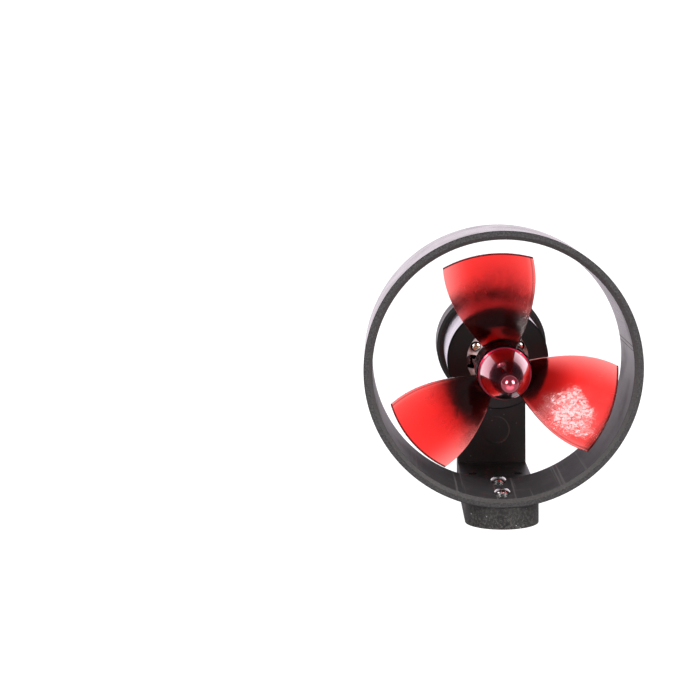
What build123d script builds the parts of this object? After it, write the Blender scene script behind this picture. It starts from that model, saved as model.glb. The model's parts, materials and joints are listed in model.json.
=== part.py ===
from build123d import *
import math
import os

# An underwater thruster. A three-bladed propeller runs in a duct ring and is turned by a wet motor,
# which one black bracket holds behind it. The propeller's axis lies along Y, with the front towards
# minus Y. The foot stands on the plane z = 0, and the origin is midway between its two fixing holes.
# Driving dimensions come first, in millimetres, and every place is worked out from them.

# Fits
FIXED_FIT = 0.02  # radial clearance of pieces that stay together
RUNNING_FIT = 0.03  # radial clearance of pieces that turn in each other
MOTOR_FIT = 0.05  # radial clearance of the motor in the bracket's cup

# Duct ring
DUCT_RADIUS = 37.5
DUCT_WALL = 2.4
DUCT_LENGTH = 28.3
DUCT_MOUTH_BEVEL = 1.0
DUCT_BACK_BEVEL = 0.6
DUCT_OUTER_BEVEL = 0.25
SPOTFACE_DEPTH = 0.12
SPOTFACE_MARGIN = 0.15

# Bracket
BRACKET_WIDTH = 20.3
SADDLE_FLOOR = 5.9  # thickness of the foot under the duct's lowest line
FOOT_HEIGHT = 7.9
HOLES_BEHIND_DUCT = 8.7
HOLE_SPACING = 13.0
HOLE_RADIUS = 1.3
PILLAR_DEPTH = 10.2
CUP_PROUD = 2.5  # how far the motor's cup stands in front of the pillar
CUP_WALL = 2.0
CUP_EDGE = 0.8
BACK_WALL = 3.0
BACK_OPENING_RADIUS = 3.6
MARK_RADIUS = 4.15
MARK_DEPTH = 0.5
MARK_OFFSET = 1.2
MARK_BELOW_AXIS = 25.6
FOOT_BACK_FILLET = 1.5

# Pan head screws
SCREW_RADIUS = 1.25
HEAD_RADIUS = 2.2
HEAD_HEIGHT = 1.7
HEAD_SIDE_SHARE = 0.45  # straight side of a pan head over its height
DRIVER_WIDTH = 0.55  # width of the cross slot
PILOT_SPARE = 0.5  # how much deeper the holes are than the screws
DUCT_SCREW_LENGTH = 6.0
DUCT_SCREW_FIRST = 7.5  # behind the duct's front face
DUCT_SCREW_PITCH = 16.0
MOTOR_SCREW_LENGTH = 6.0
MOTOR_SCREW_CIRCLE = 8.0
MOTOR_SCREW_COUNT = 4

# Propeller
TIP_GAP = 3.6  # between the blades' tips and the duct's bore
BLADE_COUNT = 3
BLADE_ANGLE = 97.8  # middle of the first blade, counter-clockwise from +X seen from the front
BLADE_PITCH = 60.0
BLADE_HALF_WIDTH = 12.0
BLADE_WIDEST_AT = 27.0
BLADE_ROOT_THICKNESS = 2.2
BLADE_TIP_THICKNESS = 1.3
BLADE_EDGE_SHARE = 0.4  # thickness at the edges over that in the middle
BLADE_ROOT_AT = 5.0  # where the blades begin, inside the hub
BLADE_SECTIONS = 7
HUB_RADIUS = 7.4
HUB_LENGTH = 13.0
HUB_PROUD = 3.5  # how far the hub stands in front of the duct
HUB_EDGE = 0.6

# Drive dog
DOG_RADIUS = 6.2
DOG_LENGTH = 5.0
DOG_GAP = 0.1
LUG_WIDTH = 2.0
LUG_DEPTH = 1.8
LUG_INNER = 3.0
LUG_OUTER = 6.0
SHAFT_GAP = 8.5  # bare shaft between the dog and the motor
GRUB_RADIUS = 1.5
GRUB_LENGTH = 4.0
GRUB_SOCKET_RADIUS = 0.85
GRUB_SOCKET_DEPTH = 1.6

# Prop nut
NUT_LENGTH = 21.0
NUT_RIM_RADIUS = 7.05
NUT_RIM_THICKNESS = 0.8
NUT_RIM_SLOPE = 0.2
NUT_BODY_RADIUS = 6.75
NUT_BALL_RADIUS = 2.5
NUT_TAPER_ANGLE = 19.0
NUT_BULGE = 0.7
NUT_THREAD_DEPTH = 9.0
CROSS_HOLE_RADIUS = 0.9
CROSS_HOLE_FROM_TIP = 8.2
CROSS_HOLE_ANGLE = 114.0
WASHER_THICKNESS = 0.5
WASHER_RADIUS = 5.0

# Shaft
SHAFT_RADIUS = 2.0
SHAFT_FLAT = 0.35
SHAFT_CHAMFER = 0.4
SHAFT_INSIDE_BACK = 0.8  # how far the shaft's end is inside the motor's back
CLIP_THICKNESS = 0.5
CLIP_GROOVE_DEPTH = 0.4
CLIP_RADIUS = 3.2
CLIP_GAP_WIDTH = 2.0

# Motor
MOTOR_RADIUS = 14.2
MOTOR_LENGTH = 37.7
CAN_WALL = 1.0
COVER_FLANGE = 1.2
COVER_LIP = 1.7
HEAD_CLEAR = 0.2  # between the plate screws' heads and the cover's opening
COVER_LENGTH = 4.2
COVER_EDGE = 0.4
RECESS_SHARE = 0.6027  # how much of the cover's width the plate's recess takes
PLATE_THICKNESS = 2.0
PLATE_BORE_RADIUS = 2.6
FLOOD_HOLE_RADIUS = 2.1
FLOOD_HOLE_CIRCLE = 7.1
FLOOD_HOLE_OFFSET = 37.0  # degrees either side of each plate screw
PLATE_SCREW_RADIUS = 1.0
PLATE_SCREW_HEAD_RADIUS = 1.5
PLATE_SCREW_HEAD_HEIGHT = 1.1
PLATE_DRIVER_WIDTH = 0.4
SCREW_OUTSIDE_HOUSING = 2.2  # from the bearing housing to the screws' centres
PLATE_SCREW_LENGTH = 4.0
PLATE_SCREW_COUNT = 3
PLATE_SCREW_FIRST_ANGLE = 30.0
HOUSING_WALL = 0.8
HOUSING_SHOULDER = 0.7
EAR_WIDTH = 3.8
EAR_BEYOND_SCREW = 2.0
EAR_THICKNESS = 2.5
END_CAP_THICKNESS = 4.0
END_CAP_BOSS_RADIUS = 6.0
END_CAP_BOSS_LENGTH = 2.0
SEAT_SHOULDER_RADIUS = 3.5

# Bearings
BEARING_RADIUS = 4.0
BEARING_WIDTH = 3.0
BEARING_INSET = 0.1  # how far the rear bearing is inside its boss
OUTER_LAND_RADIUS = 3.5
INNER_LAND_RADIUS = 2.6
BALL_RADIUS = 0.55
BALL_COUNT = 7
CAGE_INNER_RADIUS = 2.85
CAGE_OUTER_RADIUS = 3.25
CAGE_WIDTH = 1.8

# Stator and rotor
END_TURN_ROOM = 0.65  # between the coils' ends and the bearings
YOKE_THICKNESS = 2.2
TOOTH_COUNT = 6
TOOTH_WIDTH = 3.4
TOOTH_LENGTH = 3.78
TOOTH_TIP_WIDTH = 5.4
TOOTH_TIP_THICKNESS = 0.8
COIL_THICKNESS = 1.5
COIL_CORNER = 1.2
COIL_GAP = 0.05
AIR_GAP = 0.35
MAGNET_THICKNESS = 1.65
MAGNET_COUNT = 4
MAGNET_SPAN = 80.0
ROTOR_BOSS_RADIUS = 2.8

# Leads: three free silicone leads that leave through a grommet in the bracket's back wall
LEAD_DIAMETER = 1.8
LEAD_SPACING = 2.5
LEAD_EXIT_BELOW_AXIS = 10.8
SLOT_WIDTH = 7.6
SLOT_HEIGHT = 2.6
GROMMET_FLANGE = 0.8
GROMMET_FLANGE_THICKNESS = 1.2
SLEEVE_RADIUS = 2.0
SLEEVE_END_RADIUS = 1.5
SLEEVE_OVER_LEAD = 4.0
PLUG_CUP_RADIUS = 1.5
PLUG_CUP_LENGTH = 4.0
PLUG_COLLAR_RADIUS = 1.75
PLUG_COLLAR_LENGTH = 1.0
PLUG_PIN_LENGTH = 7.0
PLUG_PIN_END_RADIUS = 1.35
PLUG_TIP_CHAMFER = 0.7

# Places worked out from the sizes above
AXIS_HEIGHT = SADDLE_FLOOR + DUCT_RADIUS
TIP_RADIUS = DUCT_RADIUS - DUCT_WALL - TIP_GAP
DUCT_BACK = -HOLES_BEHIND_DUCT
DUCT_FRONT = DUCT_BACK - DUCT_LENGTH
HUB_FRONT = DUCT_FRONT - HUB_PROUD
HUB_BACK = HUB_FRONT + HUB_LENGTH
NUT_BASE = HUB_FRONT - WASHER_THICKNESS
NUT_TIP = NUT_BASE - NUT_LENGTH
DOG_BACK = HUB_BACK + DOG_LENGTH
MOTOR_FRONT = DOG_BACK + SHAFT_GAP
MOTOR_BACK = MOTOR_FRONT + MOTOR_LENGTH
BRACKET_BACK = MOTOR_BACK + BACK_WALL
PILLAR_FRONT = BRACKET_BACK - PILLAR_DEPTH
CUP_FRONT = PILLAR_FRONT - CUP_PROUD
CAN_INNER_RADIUS = MOTOR_RADIUS - CAN_WALL
CUP_RADIUS = MOTOR_RADIUS + CUP_WALL
HOUSING_RADIUS = BEARING_RADIUS + HOUSING_WALL
PLATE_SCREW_CIRCLE = HOUSING_RADIUS + SCREW_OUTSIDE_HOUSING
EAR_REACH = PLATE_SCREW_CIRCLE + EAR_BEYOND_SCREW
COVER_OPENING_RADIUS = PLATE_SCREW_CIRCLE + PLATE_SCREW_HEAD_RADIUS + HEAD_CLEAR
COVER_WIDTH = CAN_INNER_RADIUS - FIXED_FIT - COVER_OPENING_RADIUS
PLATE_RADIUS = COVER_OPENING_RADIUS + COVER_WIDTH * RECESS_SHARE
PLATE_FRONT = MOTOR_FRONT + COVER_LIP
PLATE_BACK = PLATE_FRONT + PLATE_THICKNESS
FRONT_BEARING = PLATE_BACK + HOUSING_SHOULDER
END_CAP_FRONT = MOTOR_BACK - END_CAP_THICKNESS
END_CAP_BOSS = END_CAP_FRONT - END_CAP_BOSS_LENGTH
REAR_BEARING = END_CAP_BOSS + BEARING_INSET
FRONT_BEARING_BACK = FRONT_BEARING + BEARING_WIDTH
REAR_BEARING_BACK = REAR_BEARING + BEARING_WIDTH
STACK_FRONT = FRONT_BEARING_BACK + END_TURN_ROOM + COIL_THICKNESS + COIL_GAP
STACK_BACK = REAR_BEARING - END_TURN_ROOM - COIL_THICKNESS - COIL_GAP
STACK_LENGTH = STACK_BACK - STACK_FRONT
STACK_MIDDLE = (STACK_FRONT + STACK_BACK) / 2
SHAFT_BACK = MOTOR_BACK - SHAFT_INSIDE_BACK
SHAFT_FRONT = NUT_BASE - NUT_THREAD_DEPTH
BALL_CIRCLE = (OUTER_LAND_RADIUS + INNER_LAND_RADIUS) / 2
YOKE_RADIUS = CAN_INNER_RADIUS - FIXED_FIT
TOOTH_TIP_RADIUS = YOKE_RADIUS - YOKE_THICKNESS - TOOTH_LENGTH
ROTOR_RADIUS = TOOTH_TIP_RADIUS - AIR_GAP - MAGNET_THICKNESS
LEAD_EXIT_HEIGHT = AXIS_HEIGHT - LEAD_EXIT_BELOW_AXIS
LEAD_EXIT = BRACKET_BACK + GROMMET_FLANGE_THICKNESS


def lifted(shape):
    """A shape that was drawn about the Y axis, raised to the propeller's axis."""
    return Pos(0, 0, AXIS_HEIGHT) * shape


def turned(points):
    """A solid turned about the Y axis from an outline of (radius, y) points."""
    return revolve(make_face(Polyline(*points, close=True)), Axis.Y)


def tube(outer, inner, front, back):
    """A plain ring about the Y axis."""
    return turned([(inner, front), (outer, front), (outer, back), (inner, back)])


def rod(radius, front, back, x=0.0, z=0.0):
    """A cylinder along Y whose centre line passes through (x, z)."""
    return Pos(x, 0, z) * turned([(0, front), (radius, front), (radius, back), (0, back)])


def at_angle(shape, angle):
    """A shape that points along +X, turned counter-clockwise as seen from the front."""
    return Rot(0, -angle, 0) * shape


def around(shape, count, first_angle=0.0):
    """Evenly spaced copies of a shape that points along +X."""
    return [at_angle(shape, first_angle + 360 * i / count) for i in range(count)]


def slot_body(width, height, front, back):
    """A block along Y with round ends, across the lead exit's height."""
    outline = Plane.XZ * SlotOverall(width, height)
    block = extrude(outline, amount=back - front)
    return Pos(0, back, -LEAD_EXIT_BELOW_AXIS) * block


def pan_screw(length, head_radius, head_height, shank_radius, driver_width):
    """A pan head screw that points down: its head stands on z = 0 and its shank hangs below."""
    side = head_height * HEAD_SIDE_SHARE
    crown = math.radians(45)
    head_outline = [
        Line((0, 0), (head_radius, 0)),
        Line((head_radius, 0), (head_radius, side)),
        ThreePointArc(
            (head_radius, side),
            (head_radius * math.sin(crown), side + (head_height - side) * math.cos(crown)),
            (0, head_height),
        ),
        Line((0, head_height), (0, 0)),
    ]
    head = revolve(Plane.XZ * make_face(head_outline), Axis.Z)
    for angle in (0, 90):
        blade = Box(driver_width * 4, driver_width, head_height)
        head -= Rot(0, 0, angle) * Pos(0, 0, head_height) * blade
    shank_outline = Polyline(
        (0, 0),
        (shank_radius, 0),
        (shank_radius, shank_radius - length),
        (shank_radius / 3, -length),
        (0, -length),
        close=True,
    )
    shank = revolve(Plane.XZ * make_face(shank_outline), Axis.Z)
    return head + shank


def duct_screw_places():
    """Stations along Y of the screws that hold the duct down."""
    first = DUCT_FRONT + DUCT_SCREW_FIRST
    return [first, first + DUCT_SCREW_PITCH]


def motor_screw_places():
    """The (x, z) places of the motor's screws, about the axis."""
    places = []
    for i in range(MOTOR_SCREW_COUNT):
        angle = math.radians(45 + 360 * i / MOTOR_SCREW_COUNT)
        places.append((MOTOR_SCREW_CIRCLE * math.cos(angle), MOTOR_SCREW_CIRCLE * math.sin(angle)))
    return places


def duct_ring():
    """The tube round the propeller, bevelled at its mouth, with two screw holes in its lowest line."""
    inner = DUCT_RADIUS - DUCT_WALL
    body = turned(
        [
            (inner + DUCT_MOUTH_BEVEL, DUCT_FRONT),
            (DUCT_RADIUS - DUCT_OUTER_BEVEL, DUCT_FRONT),
            (DUCT_RADIUS, DUCT_FRONT + DUCT_OUTER_BEVEL),
            (DUCT_RADIUS, DUCT_BACK - DUCT_OUTER_BEVEL),
            (DUCT_RADIUS - DUCT_OUTER_BEVEL, DUCT_BACK),
            (inner + DUCT_BACK_BEVEL, DUCT_BACK),
            (inner, DUCT_BACK - DUCT_BACK_BEVEL),
            (inner, DUCT_FRONT + DUCT_MOUTH_BEVEL),
        ]
    )
    seat = -inner - SPOTFACE_DEPTH
    for place in duct_screw_places():
        hole = Cylinder(SCREW_RADIUS + FIXED_FIT, DUCT_WALL * 3)
        spotface = Cylinder(HEAD_RADIUS + SPOTFACE_MARGIN, HEAD_HEIGHT)
        body -= Pos(0, place, -inner - DUCT_WALL / 2) * hole
        body -= Pos(0, place, seat + HEAD_HEIGHT / 2) * spotface
    return lifted(body)


def duct_screws():
    """Two pan head screws, which pass down through the duct into the foot."""
    screw = pan_screw(DUCT_SCREW_LENGTH, HEAD_RADIUS, HEAD_HEIGHT, SCREW_RADIUS, DRIVER_WIDTH)
    seat = DUCT_WALL - DUCT_RADIUS - SPOTFACE_DEPTH
    return [lifted(Pos(0, place, seat) * screw) for place in duct_screw_places()]


def mount_bracket():
    """The black moulding: a foot with a half-round front, a pillar and a cup for the motor."""
    half = BRACKET_WIDTH / 2
    plan = Pos(0, DUCT_FRONT + half) * Circle(half)
    straight = BRACKET_BACK - DUCT_FRONT - half
    plan += Pos(0, BRACKET_BACK - straight / 2) * Rectangle(BRACKET_WIDTH, straight)
    foot = extrude(plan, amount=FOOT_HEIGHT)
    back_corners = foot.edges().filter_by(Axis.Z).group_by(Axis.Y)[-1]
    foot = fillet(back_corners, FOOT_BACK_FILLET)
    pillar = Pos(0, (PILLAR_FRONT + BRACKET_BACK) / 2, AXIS_HEIGHT / 2) * Box(
        BRACKET_WIDTH, PILLAR_DEPTH, AXIS_HEIGHT
    )
    pillar = fillet(pillar.edges().filter_by(Axis.Z).group_by(Axis.Y)[-1], FOOT_BACK_FILLET)
    cup = turned(
        [
            (0, CUP_FRONT),
            (CUP_RADIUS - CUP_EDGE, CUP_FRONT),
            (CUP_RADIUS, CUP_FRONT + CUP_EDGE),
            (CUP_RADIUS, BRACKET_BACK - CUP_EDGE),
            (CUP_RADIUS - CUP_EDGE, BRACKET_BACK),
            (0, BRACKET_BACK),
        ]
    )
    body = foot + pillar + lifted(cup)

    cuts = [rod(MOTOR_RADIUS + MOTOR_FIT, CUP_FRONT - 1, MOTOR_BACK)]
    cuts.append(rod(BACK_OPENING_RADIUS, MOTOR_BACK - 1, BRACKET_BACK + 1))
    cuts.append(slot_body(SLOT_WIDTH, SLOT_HEIGHT, MOTOR_BACK - 1, BRACKET_BACK + 1))
    for x, z in motor_screw_places():
        cuts.append(rod(SCREW_RADIUS + MOTOR_FIT, MOTOR_BACK - 1, BRACKET_BACK + 1, x, z))
    saddle_back = DUCT_BACK + FIXED_FIT
    cuts.append(rod(DUCT_RADIUS + FIXED_FIT, DUCT_FRONT - 1, saddle_back))
    for cut in cuts:
        body -= lifted(cut)

    depth = DUCT_SCREW_LENGTH + PILOT_SPARE
    for place in duct_screw_places():
        pilot = Cylinder(SCREW_RADIUS + FIXED_FIT, depth)
        top = AXIS_HEIGHT + DUCT_WALL - DUCT_RADIUS - SPOTFACE_DEPTH
        body -= Pos(0, place, top - depth / 2) * pilot
    for side in (-1, 1):
        hole = Cylinder(HOLE_RADIUS, FOOT_HEIGHT * 3)
        body -= Pos(side * HOLE_SPACING / 2, 0, 0) * hole
    mark = rod(MARK_RADIUS, PILLAR_FRONT - 1, PILLAR_FRONT + MARK_DEPTH, MARK_OFFSET)
    body -= Pos(0, 0, AXIS_HEIGHT - MARK_BELOW_AXIS) * mark
    return body


def motor_screws():
    """Four pan head screws through the bracket's back wall into the motor."""
    screw = pan_screw(MOTOR_SCREW_LENGTH, HEAD_RADIUS, HEAD_HEIGHT, SCREW_RADIUS, DRIVER_WIDTH)
    laid = Rot(-90, 0, 0) * screw
    return [lifted(Pos(x, BRACKET_BACK, z) * laid) for x, z in motor_screw_places()]


def blade_section(distance):
    """A blade's section at a distance from the axis: a thin lens along a helix of constant pitch."""
    half_width = BLADE_HALF_WIDTH * math.sin(math.pi / 2 * distance / BLADE_WIDEST_AT)
    share = distance / TIP_RADIUS
    thickness = BLADE_ROOT_THICKNESS + (BLADE_TIP_THICKNESS - BLADE_ROOT_THICKNESS) * share
    steepness = BLADE_PITCH / (2 * math.pi * distance)
    along_axis = thickness * math.sqrt(1 + steepness**2)
    middle = (HUB_FRONT + HUB_BACK) / 2

    def face(side):
        points = []
        for place in (-1, -0.5, 0, 0.5, 1):
            z = place * half_width
            helix = BLADE_PITCH * math.atan2(z, distance) / (2 * math.pi)
            depth = along_axis / 2 * (1 - (1 - BLADE_EDGE_SHARE) * place**2)
            points.append((distance, middle + helix + side * depth, z))
        return Spline(*points)

    front = face(-1)
    back = face(1)
    return make_face([front, back, Line(front @ 0, back @ 0), Line(front @ 1, back @ 1)])


def blade():
    """One blade, pointing along +X, with its tip cut round."""
    step = (TIP_RADIUS * 1.05 - BLADE_ROOT_AT) / (BLADE_SECTIONS - 1)
    sections = [blade_section(BLADE_ROOT_AT + step * i) for i in range(BLADE_SECTIONS)]
    body = loft(sections)
    return body & rod(TIP_RADIUS, HUB_FRONT - HUB_LENGTH, HUB_BACK + HUB_LENGTH)


def propeller():
    """Three blades on a hub whose back is notched for the drive dog."""
    hub = turned(
        [
            (SHAFT_RADIUS + RUNNING_FIT, HUB_FRONT),
            (HUB_RADIUS - HUB_EDGE, HUB_FRONT),
            (HUB_RADIUS, HUB_FRONT + HUB_EDGE),
            (HUB_RADIUS, HUB_BACK - HUB_EDGE),
            (HUB_RADIUS - HUB_EDGE, HUB_BACK),
            (SHAFT_RADIUS + RUNNING_FIT, HUB_BACK),
        ]
    )
    body = hub
    for copy in around(blade(), BLADE_COUNT, BLADE_ANGLE):
        body += copy
    length = LUG_OUTER - LUG_INNER + 2 * DOG_GAP
    depth = LUG_DEPTH + DOG_GAP
    notch = Pos((LUG_INNER + LUG_OUTER) / 2, HUB_BACK - depth / 2, 0) * Box(
        length, depth, LUG_WIDTH + 2 * DOG_GAP
    )
    for copy in around(notch, 2):
        body -= copy
    return lifted(body)


def drive_dog():
    """The collar that the shaft drives, with two lugs in the hub's notches."""
    body = tube(DOG_RADIUS, SHAFT_RADIUS + FIXED_FIT, HUB_BACK, DOG_BACK)
    lug = Pos((LUG_INNER + LUG_OUTER) / 2, HUB_BACK - LUG_DEPTH / 2, 0) * Box(
        LUG_OUTER - LUG_INNER, LUG_DEPTH, LUG_WIDTH
    )
    for copy in around(lug, 2):
        body += copy
    hole = Rot(0, 90, 0) * Cylinder(GRUB_RADIUS + FIXED_FIT, DOG_RADIUS * 2)
    body -= Pos(DOG_RADIUS, (HUB_BACK + DOG_BACK) / 2, 0) * hole
    return lifted(body)


def dog_grub_screw():
    """The grub screw that bears on the shaft's flat, with a hexagon socket."""
    screw = Cylinder(GRUB_RADIUS, GRUB_LENGTH)
    socket = extrude(RegularPolygon(GRUB_SOCKET_RADIUS, 6), amount=GRUB_LENGTH)
    screw -= Pos(0, 0, GRUB_LENGTH / 2 - GRUB_SOCKET_DEPTH) * socket
    inner_end = SHAFT_RADIUS - SHAFT_FLAT + FIXED_FIT
    place = Pos(inner_end + GRUB_LENGTH / 2, (HUB_BACK + DOG_BACK) / 2, 0)
    return lifted(place * Rot(0, 90, 0) * screw)


def prop_washer():
    """The washer between the hub and the nut."""
    return lifted(tube(WASHER_RADIUS, SHAFT_RADIUS + FIXED_FIT, NUT_BASE, HUB_FRONT))


def prop_nut():
    """The bullet nut: a rim, a bulging taper, a ball tip, a blind thread and a cross hole."""
    taper = math.radians(NUT_TAPER_ANGLE)
    ball_centre = NUT_TIP + NUT_BALL_RADIUS
    shoulder = (NUT_BODY_RADIUS, NUT_BASE - NUT_RIM_THICKNESS - NUT_RIM_SLOPE)
    neck = (
        NUT_BALL_RADIUS * math.cos(taper),
        ball_centre - NUT_BALL_RADIUS * math.sin(taper),
    )
    middle = ((shoulder[0] + neck[0]) / 2 + NUT_BULGE, (shoulder[1] + neck[1]) / 2)
    halfway = math.radians((90 + NUT_TAPER_ANGLE) / 2)
    on_ball = (
        NUT_BALL_RADIUS * math.cos(halfway),
        ball_centre - NUT_BALL_RADIUS * math.sin(halfway),
    )
    outline = [
        Line((0, NUT_BASE), (NUT_RIM_RADIUS, NUT_BASE)),
        Line((NUT_RIM_RADIUS, NUT_BASE), (NUT_RIM_RADIUS, NUT_BASE - NUT_RIM_THICKNESS)),
        Line((NUT_RIM_RADIUS, NUT_BASE - NUT_RIM_THICKNESS), shoulder),
        ThreePointArc(shoulder, middle, neck),
        ThreePointArc(neck, on_ball, (0, NUT_TIP)),
        Line((0, NUT_TIP), (0, NUT_BASE)),
    ]
    body = revolve(make_face(outline), Axis.Y)
    body -= rod(SHAFT_RADIUS + FIXED_FIT, SHAFT_FRONT - 1, NUT_BASE + 1)
    hole = Rot(0, 90, 0) * Cylinder(CROSS_HOLE_RADIUS, NUT_BODY_RADIUS * 3)
    body -= at_angle(Pos(0, NUT_TIP + CROSS_HOLE_FROM_TIP, 0) * hole, CROSS_HOLE_ANGLE)
    return lifted(body)


def motor_shaft():
    """The shaft, with a flat for the grub screw and a groove for the clip."""
    body = turned(
        [
            (0, SHAFT_FRONT),
            (SHAFT_RADIUS - SHAFT_CHAMFER, SHAFT_FRONT),
            (SHAFT_RADIUS, SHAFT_FRONT + SHAFT_CHAMFER),
            (SHAFT_RADIUS, REAR_BEARING_BACK),
            (SHAFT_RADIUS - CLIP_GROOVE_DEPTH, REAR_BEARING_BACK),
            (SHAFT_RADIUS - CLIP_GROOVE_DEPTH, REAR_BEARING_BACK + CLIP_THICKNESS),
            (SHAFT_RADIUS, REAR_BEARING_BACK + CLIP_THICKNESS),
            (SHAFT_RADIUS, SHAFT_BACK),
            (0, SHAFT_BACK),
        ]
    )
    flat = Box(SHAFT_RADIUS, DOG_LENGTH, SHAFT_RADIUS * 2)
    body -= Pos(SHAFT_RADIUS * 1.5 - SHAFT_FLAT, (HUB_BACK + DOG_BACK) / 2, 0) * flat
    return lifted(body)


def shaft_clip():
    """The open clip behind the rear bearing."""
    bore = SHAFT_RADIUS - CLIP_GROOVE_DEPTH + FIXED_FIT
    body = tube(CLIP_RADIUS, bore, REAR_BEARING_BACK, REAR_BEARING_BACK + CLIP_THICKNESS)
    mouth = Box(CLIP_GAP_WIDTH, CLIP_THICKNESS * 3, CLIP_RADIUS * 2)
    return lifted(body - Pos(0, REAR_BEARING_BACK, -CLIP_RADIUS) * mouth)


def front_cover():
    """The matt black disc on the motor's front, with a round opening."""
    return lifted(
        turned(
            [
                (COVER_OPENING_RADIUS, MOTOR_FRONT),
                (MOTOR_RADIUS - COVER_EDGE, MOTOR_FRONT),
                (MOTOR_RADIUS, MOTOR_FRONT + COVER_EDGE),
                (MOTOR_RADIUS, MOTOR_FRONT + COVER_FLANGE),
                (CAN_INNER_RADIUS - FIXED_FIT, MOTOR_FRONT + COVER_FLANGE),
                (CAN_INNER_RADIUS - FIXED_FIT, MOTOR_FRONT + COVER_LENGTH),
                (PLATE_RADIUS + FIXED_FIT, MOTOR_FRONT + COVER_LENGTH),
                (PLATE_RADIUS + FIXED_FIT, PLATE_FRONT),
                (COVER_OPENING_RADIUS, PLATE_FRONT),
            ]
        )
    )


def plate_screw_angles():
    """Angles of the front plate's screws."""
    step = 360 / PLATE_SCREW_COUNT
    return [PLATE_SCREW_FIRST_ANGLE + step * i for i in range(PLATE_SCREW_COUNT)]


def front_plate():
    """The bright plate in the cover's opening, with pairs of flood holes between its screws."""
    body = tube(PLATE_RADIUS, PLATE_BORE_RADIUS, PLATE_FRONT, PLATE_BACK)
    flood = rod(FLOOD_HOLE_RADIUS, PLATE_FRONT - 1, PLATE_BACK + 1, FLOOD_HOLE_CIRCLE)
    screw = rod(
        PLATE_SCREW_RADIUS + FIXED_FIT, PLATE_FRONT - 1, PLATE_BACK + 1, PLATE_SCREW_CIRCLE
    )
    for angle in plate_screw_angles():
        body -= at_angle(screw, angle)
        body -= at_angle(flood, angle - FLOOD_HOLE_OFFSET)
        body -= at_angle(flood, angle + FLOOD_HOLE_OFFSET)
    return lifted(body)


def plate_screws():
    """Small domed screws that clamp the bearing housing to the front plate."""
    screw = pan_screw(
        PLATE_SCREW_LENGTH,
        PLATE_SCREW_HEAD_RADIUS,
        PLATE_SCREW_HEAD_HEIGHT,
        PLATE_SCREW_RADIUS,
        PLATE_DRIVER_WIDTH,
    )
    placed = Pos(PLATE_SCREW_CIRCLE, PLATE_FRONT, 0) * Rot(90, 0, 0) * screw
    return [lifted(at_angle(placed, angle)) for angle in plate_screw_angles()]


def bearing_housing():
    """The front bearing's housing, with an ear behind each plate screw."""
    outer = HOUSING_RADIUS
    seat = BEARING_RADIUS + FIXED_FIT
    body = turned(
        [
            (SEAT_SHOULDER_RADIUS, PLATE_BACK),
            (outer, PLATE_BACK),
            (outer, FRONT_BEARING_BACK),
            (seat, FRONT_BEARING_BACK),
            (seat, FRONT_BEARING),
            (SEAT_SHOULDER_RADIUS, FRONT_BEARING),
        ]
    )
    inner = (seat + outer) / 2
    ear = Pos((inner + EAR_REACH) / 2, PLATE_BACK + EAR_THICKNESS / 2, 0) * Box(
        EAR_REACH - inner, EAR_THICKNESS, EAR_WIDTH
    )
    ear -= rod(
        PLATE_SCREW_RADIUS + FIXED_FIT,
        PLATE_BACK - 1,
        PLATE_BACK + EAR_THICKNESS + 1,
        PLATE_SCREW_CIRCLE,
    )
    for angle in plate_screw_angles():
        body += at_angle(ear, angle)
    return lifted(body)


def motor_can():
    """The motor's glossy tube."""
    return lifted(tube(MOTOR_RADIUS, CAN_INNER_RADIUS, MOTOR_FRONT + COVER_FLANGE, MOTOR_BACK))


def rear_end_cap():
    """The motor's back, which seats the rear bearing and takes the bracket's screws."""
    outer = CAN_INNER_RADIUS - FIXED_FIT
    seat = BEARING_RADIUS + FIXED_FIT
    body = turned(
        [
            (seat, END_CAP_BOSS),
            (END_CAP_BOSS_RADIUS, END_CAP_BOSS),
            (END_CAP_BOSS_RADIUS, END_CAP_FRONT),
            (outer, END_CAP_FRONT),
            (outer, MOTOR_BACK),
            (SEAT_SHOULDER_RADIUS, MOTOR_BACK),
            (SEAT_SHOULDER_RADIUS, REAR_BEARING_BACK),
            (seat, REAR_BEARING_BACK),
        ]
    )
    for x, z in motor_screw_places():
        body -= rod(SCREW_RADIUS + FIXED_FIT, END_CAP_FRONT - 1, MOTOR_BACK + 1, x, z)
    body -= slot_body(SLOT_WIDTH, SLOT_HEIGHT, END_CAP_FRONT - 1, MOTOR_BACK + 1)
    return lifted(body)


def stator_core():
    """The laminated core: a yoke with teeth that end in shoes round the rotor."""
    yoke_inner = YOKE_RADIUS - YOKE_THICKNESS
    body = tube(YOKE_RADIUS, yoke_inner, STACK_FRONT, STACK_BACK)
    stem_length = yoke_inner + YOKE_THICKNESS / 2 - TOOTH_TIP_RADIUS
    stem = Pos(TOOTH_TIP_RADIUS + stem_length / 2, STACK_MIDDLE, 0) * Box(
        stem_length, STACK_LENGTH, TOOTH_WIDTH
    )
    shoe = Pos(TOOTH_TIP_RADIUS + TOOTH_TIP_THICKNESS / 2, STACK_MIDDLE, 0) * Box(
        TOOTH_TIP_THICKNESS, STACK_LENGTH, TOOTH_TIP_WIDTH
    )
    for tooth in around(stem + shoe, TOOTH_COUNT):
        body += tooth
    body -= rod(TOOTH_TIP_RADIUS, STACK_FRONT - 1, STACK_BACK + 1)
    return lifted(body)


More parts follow.
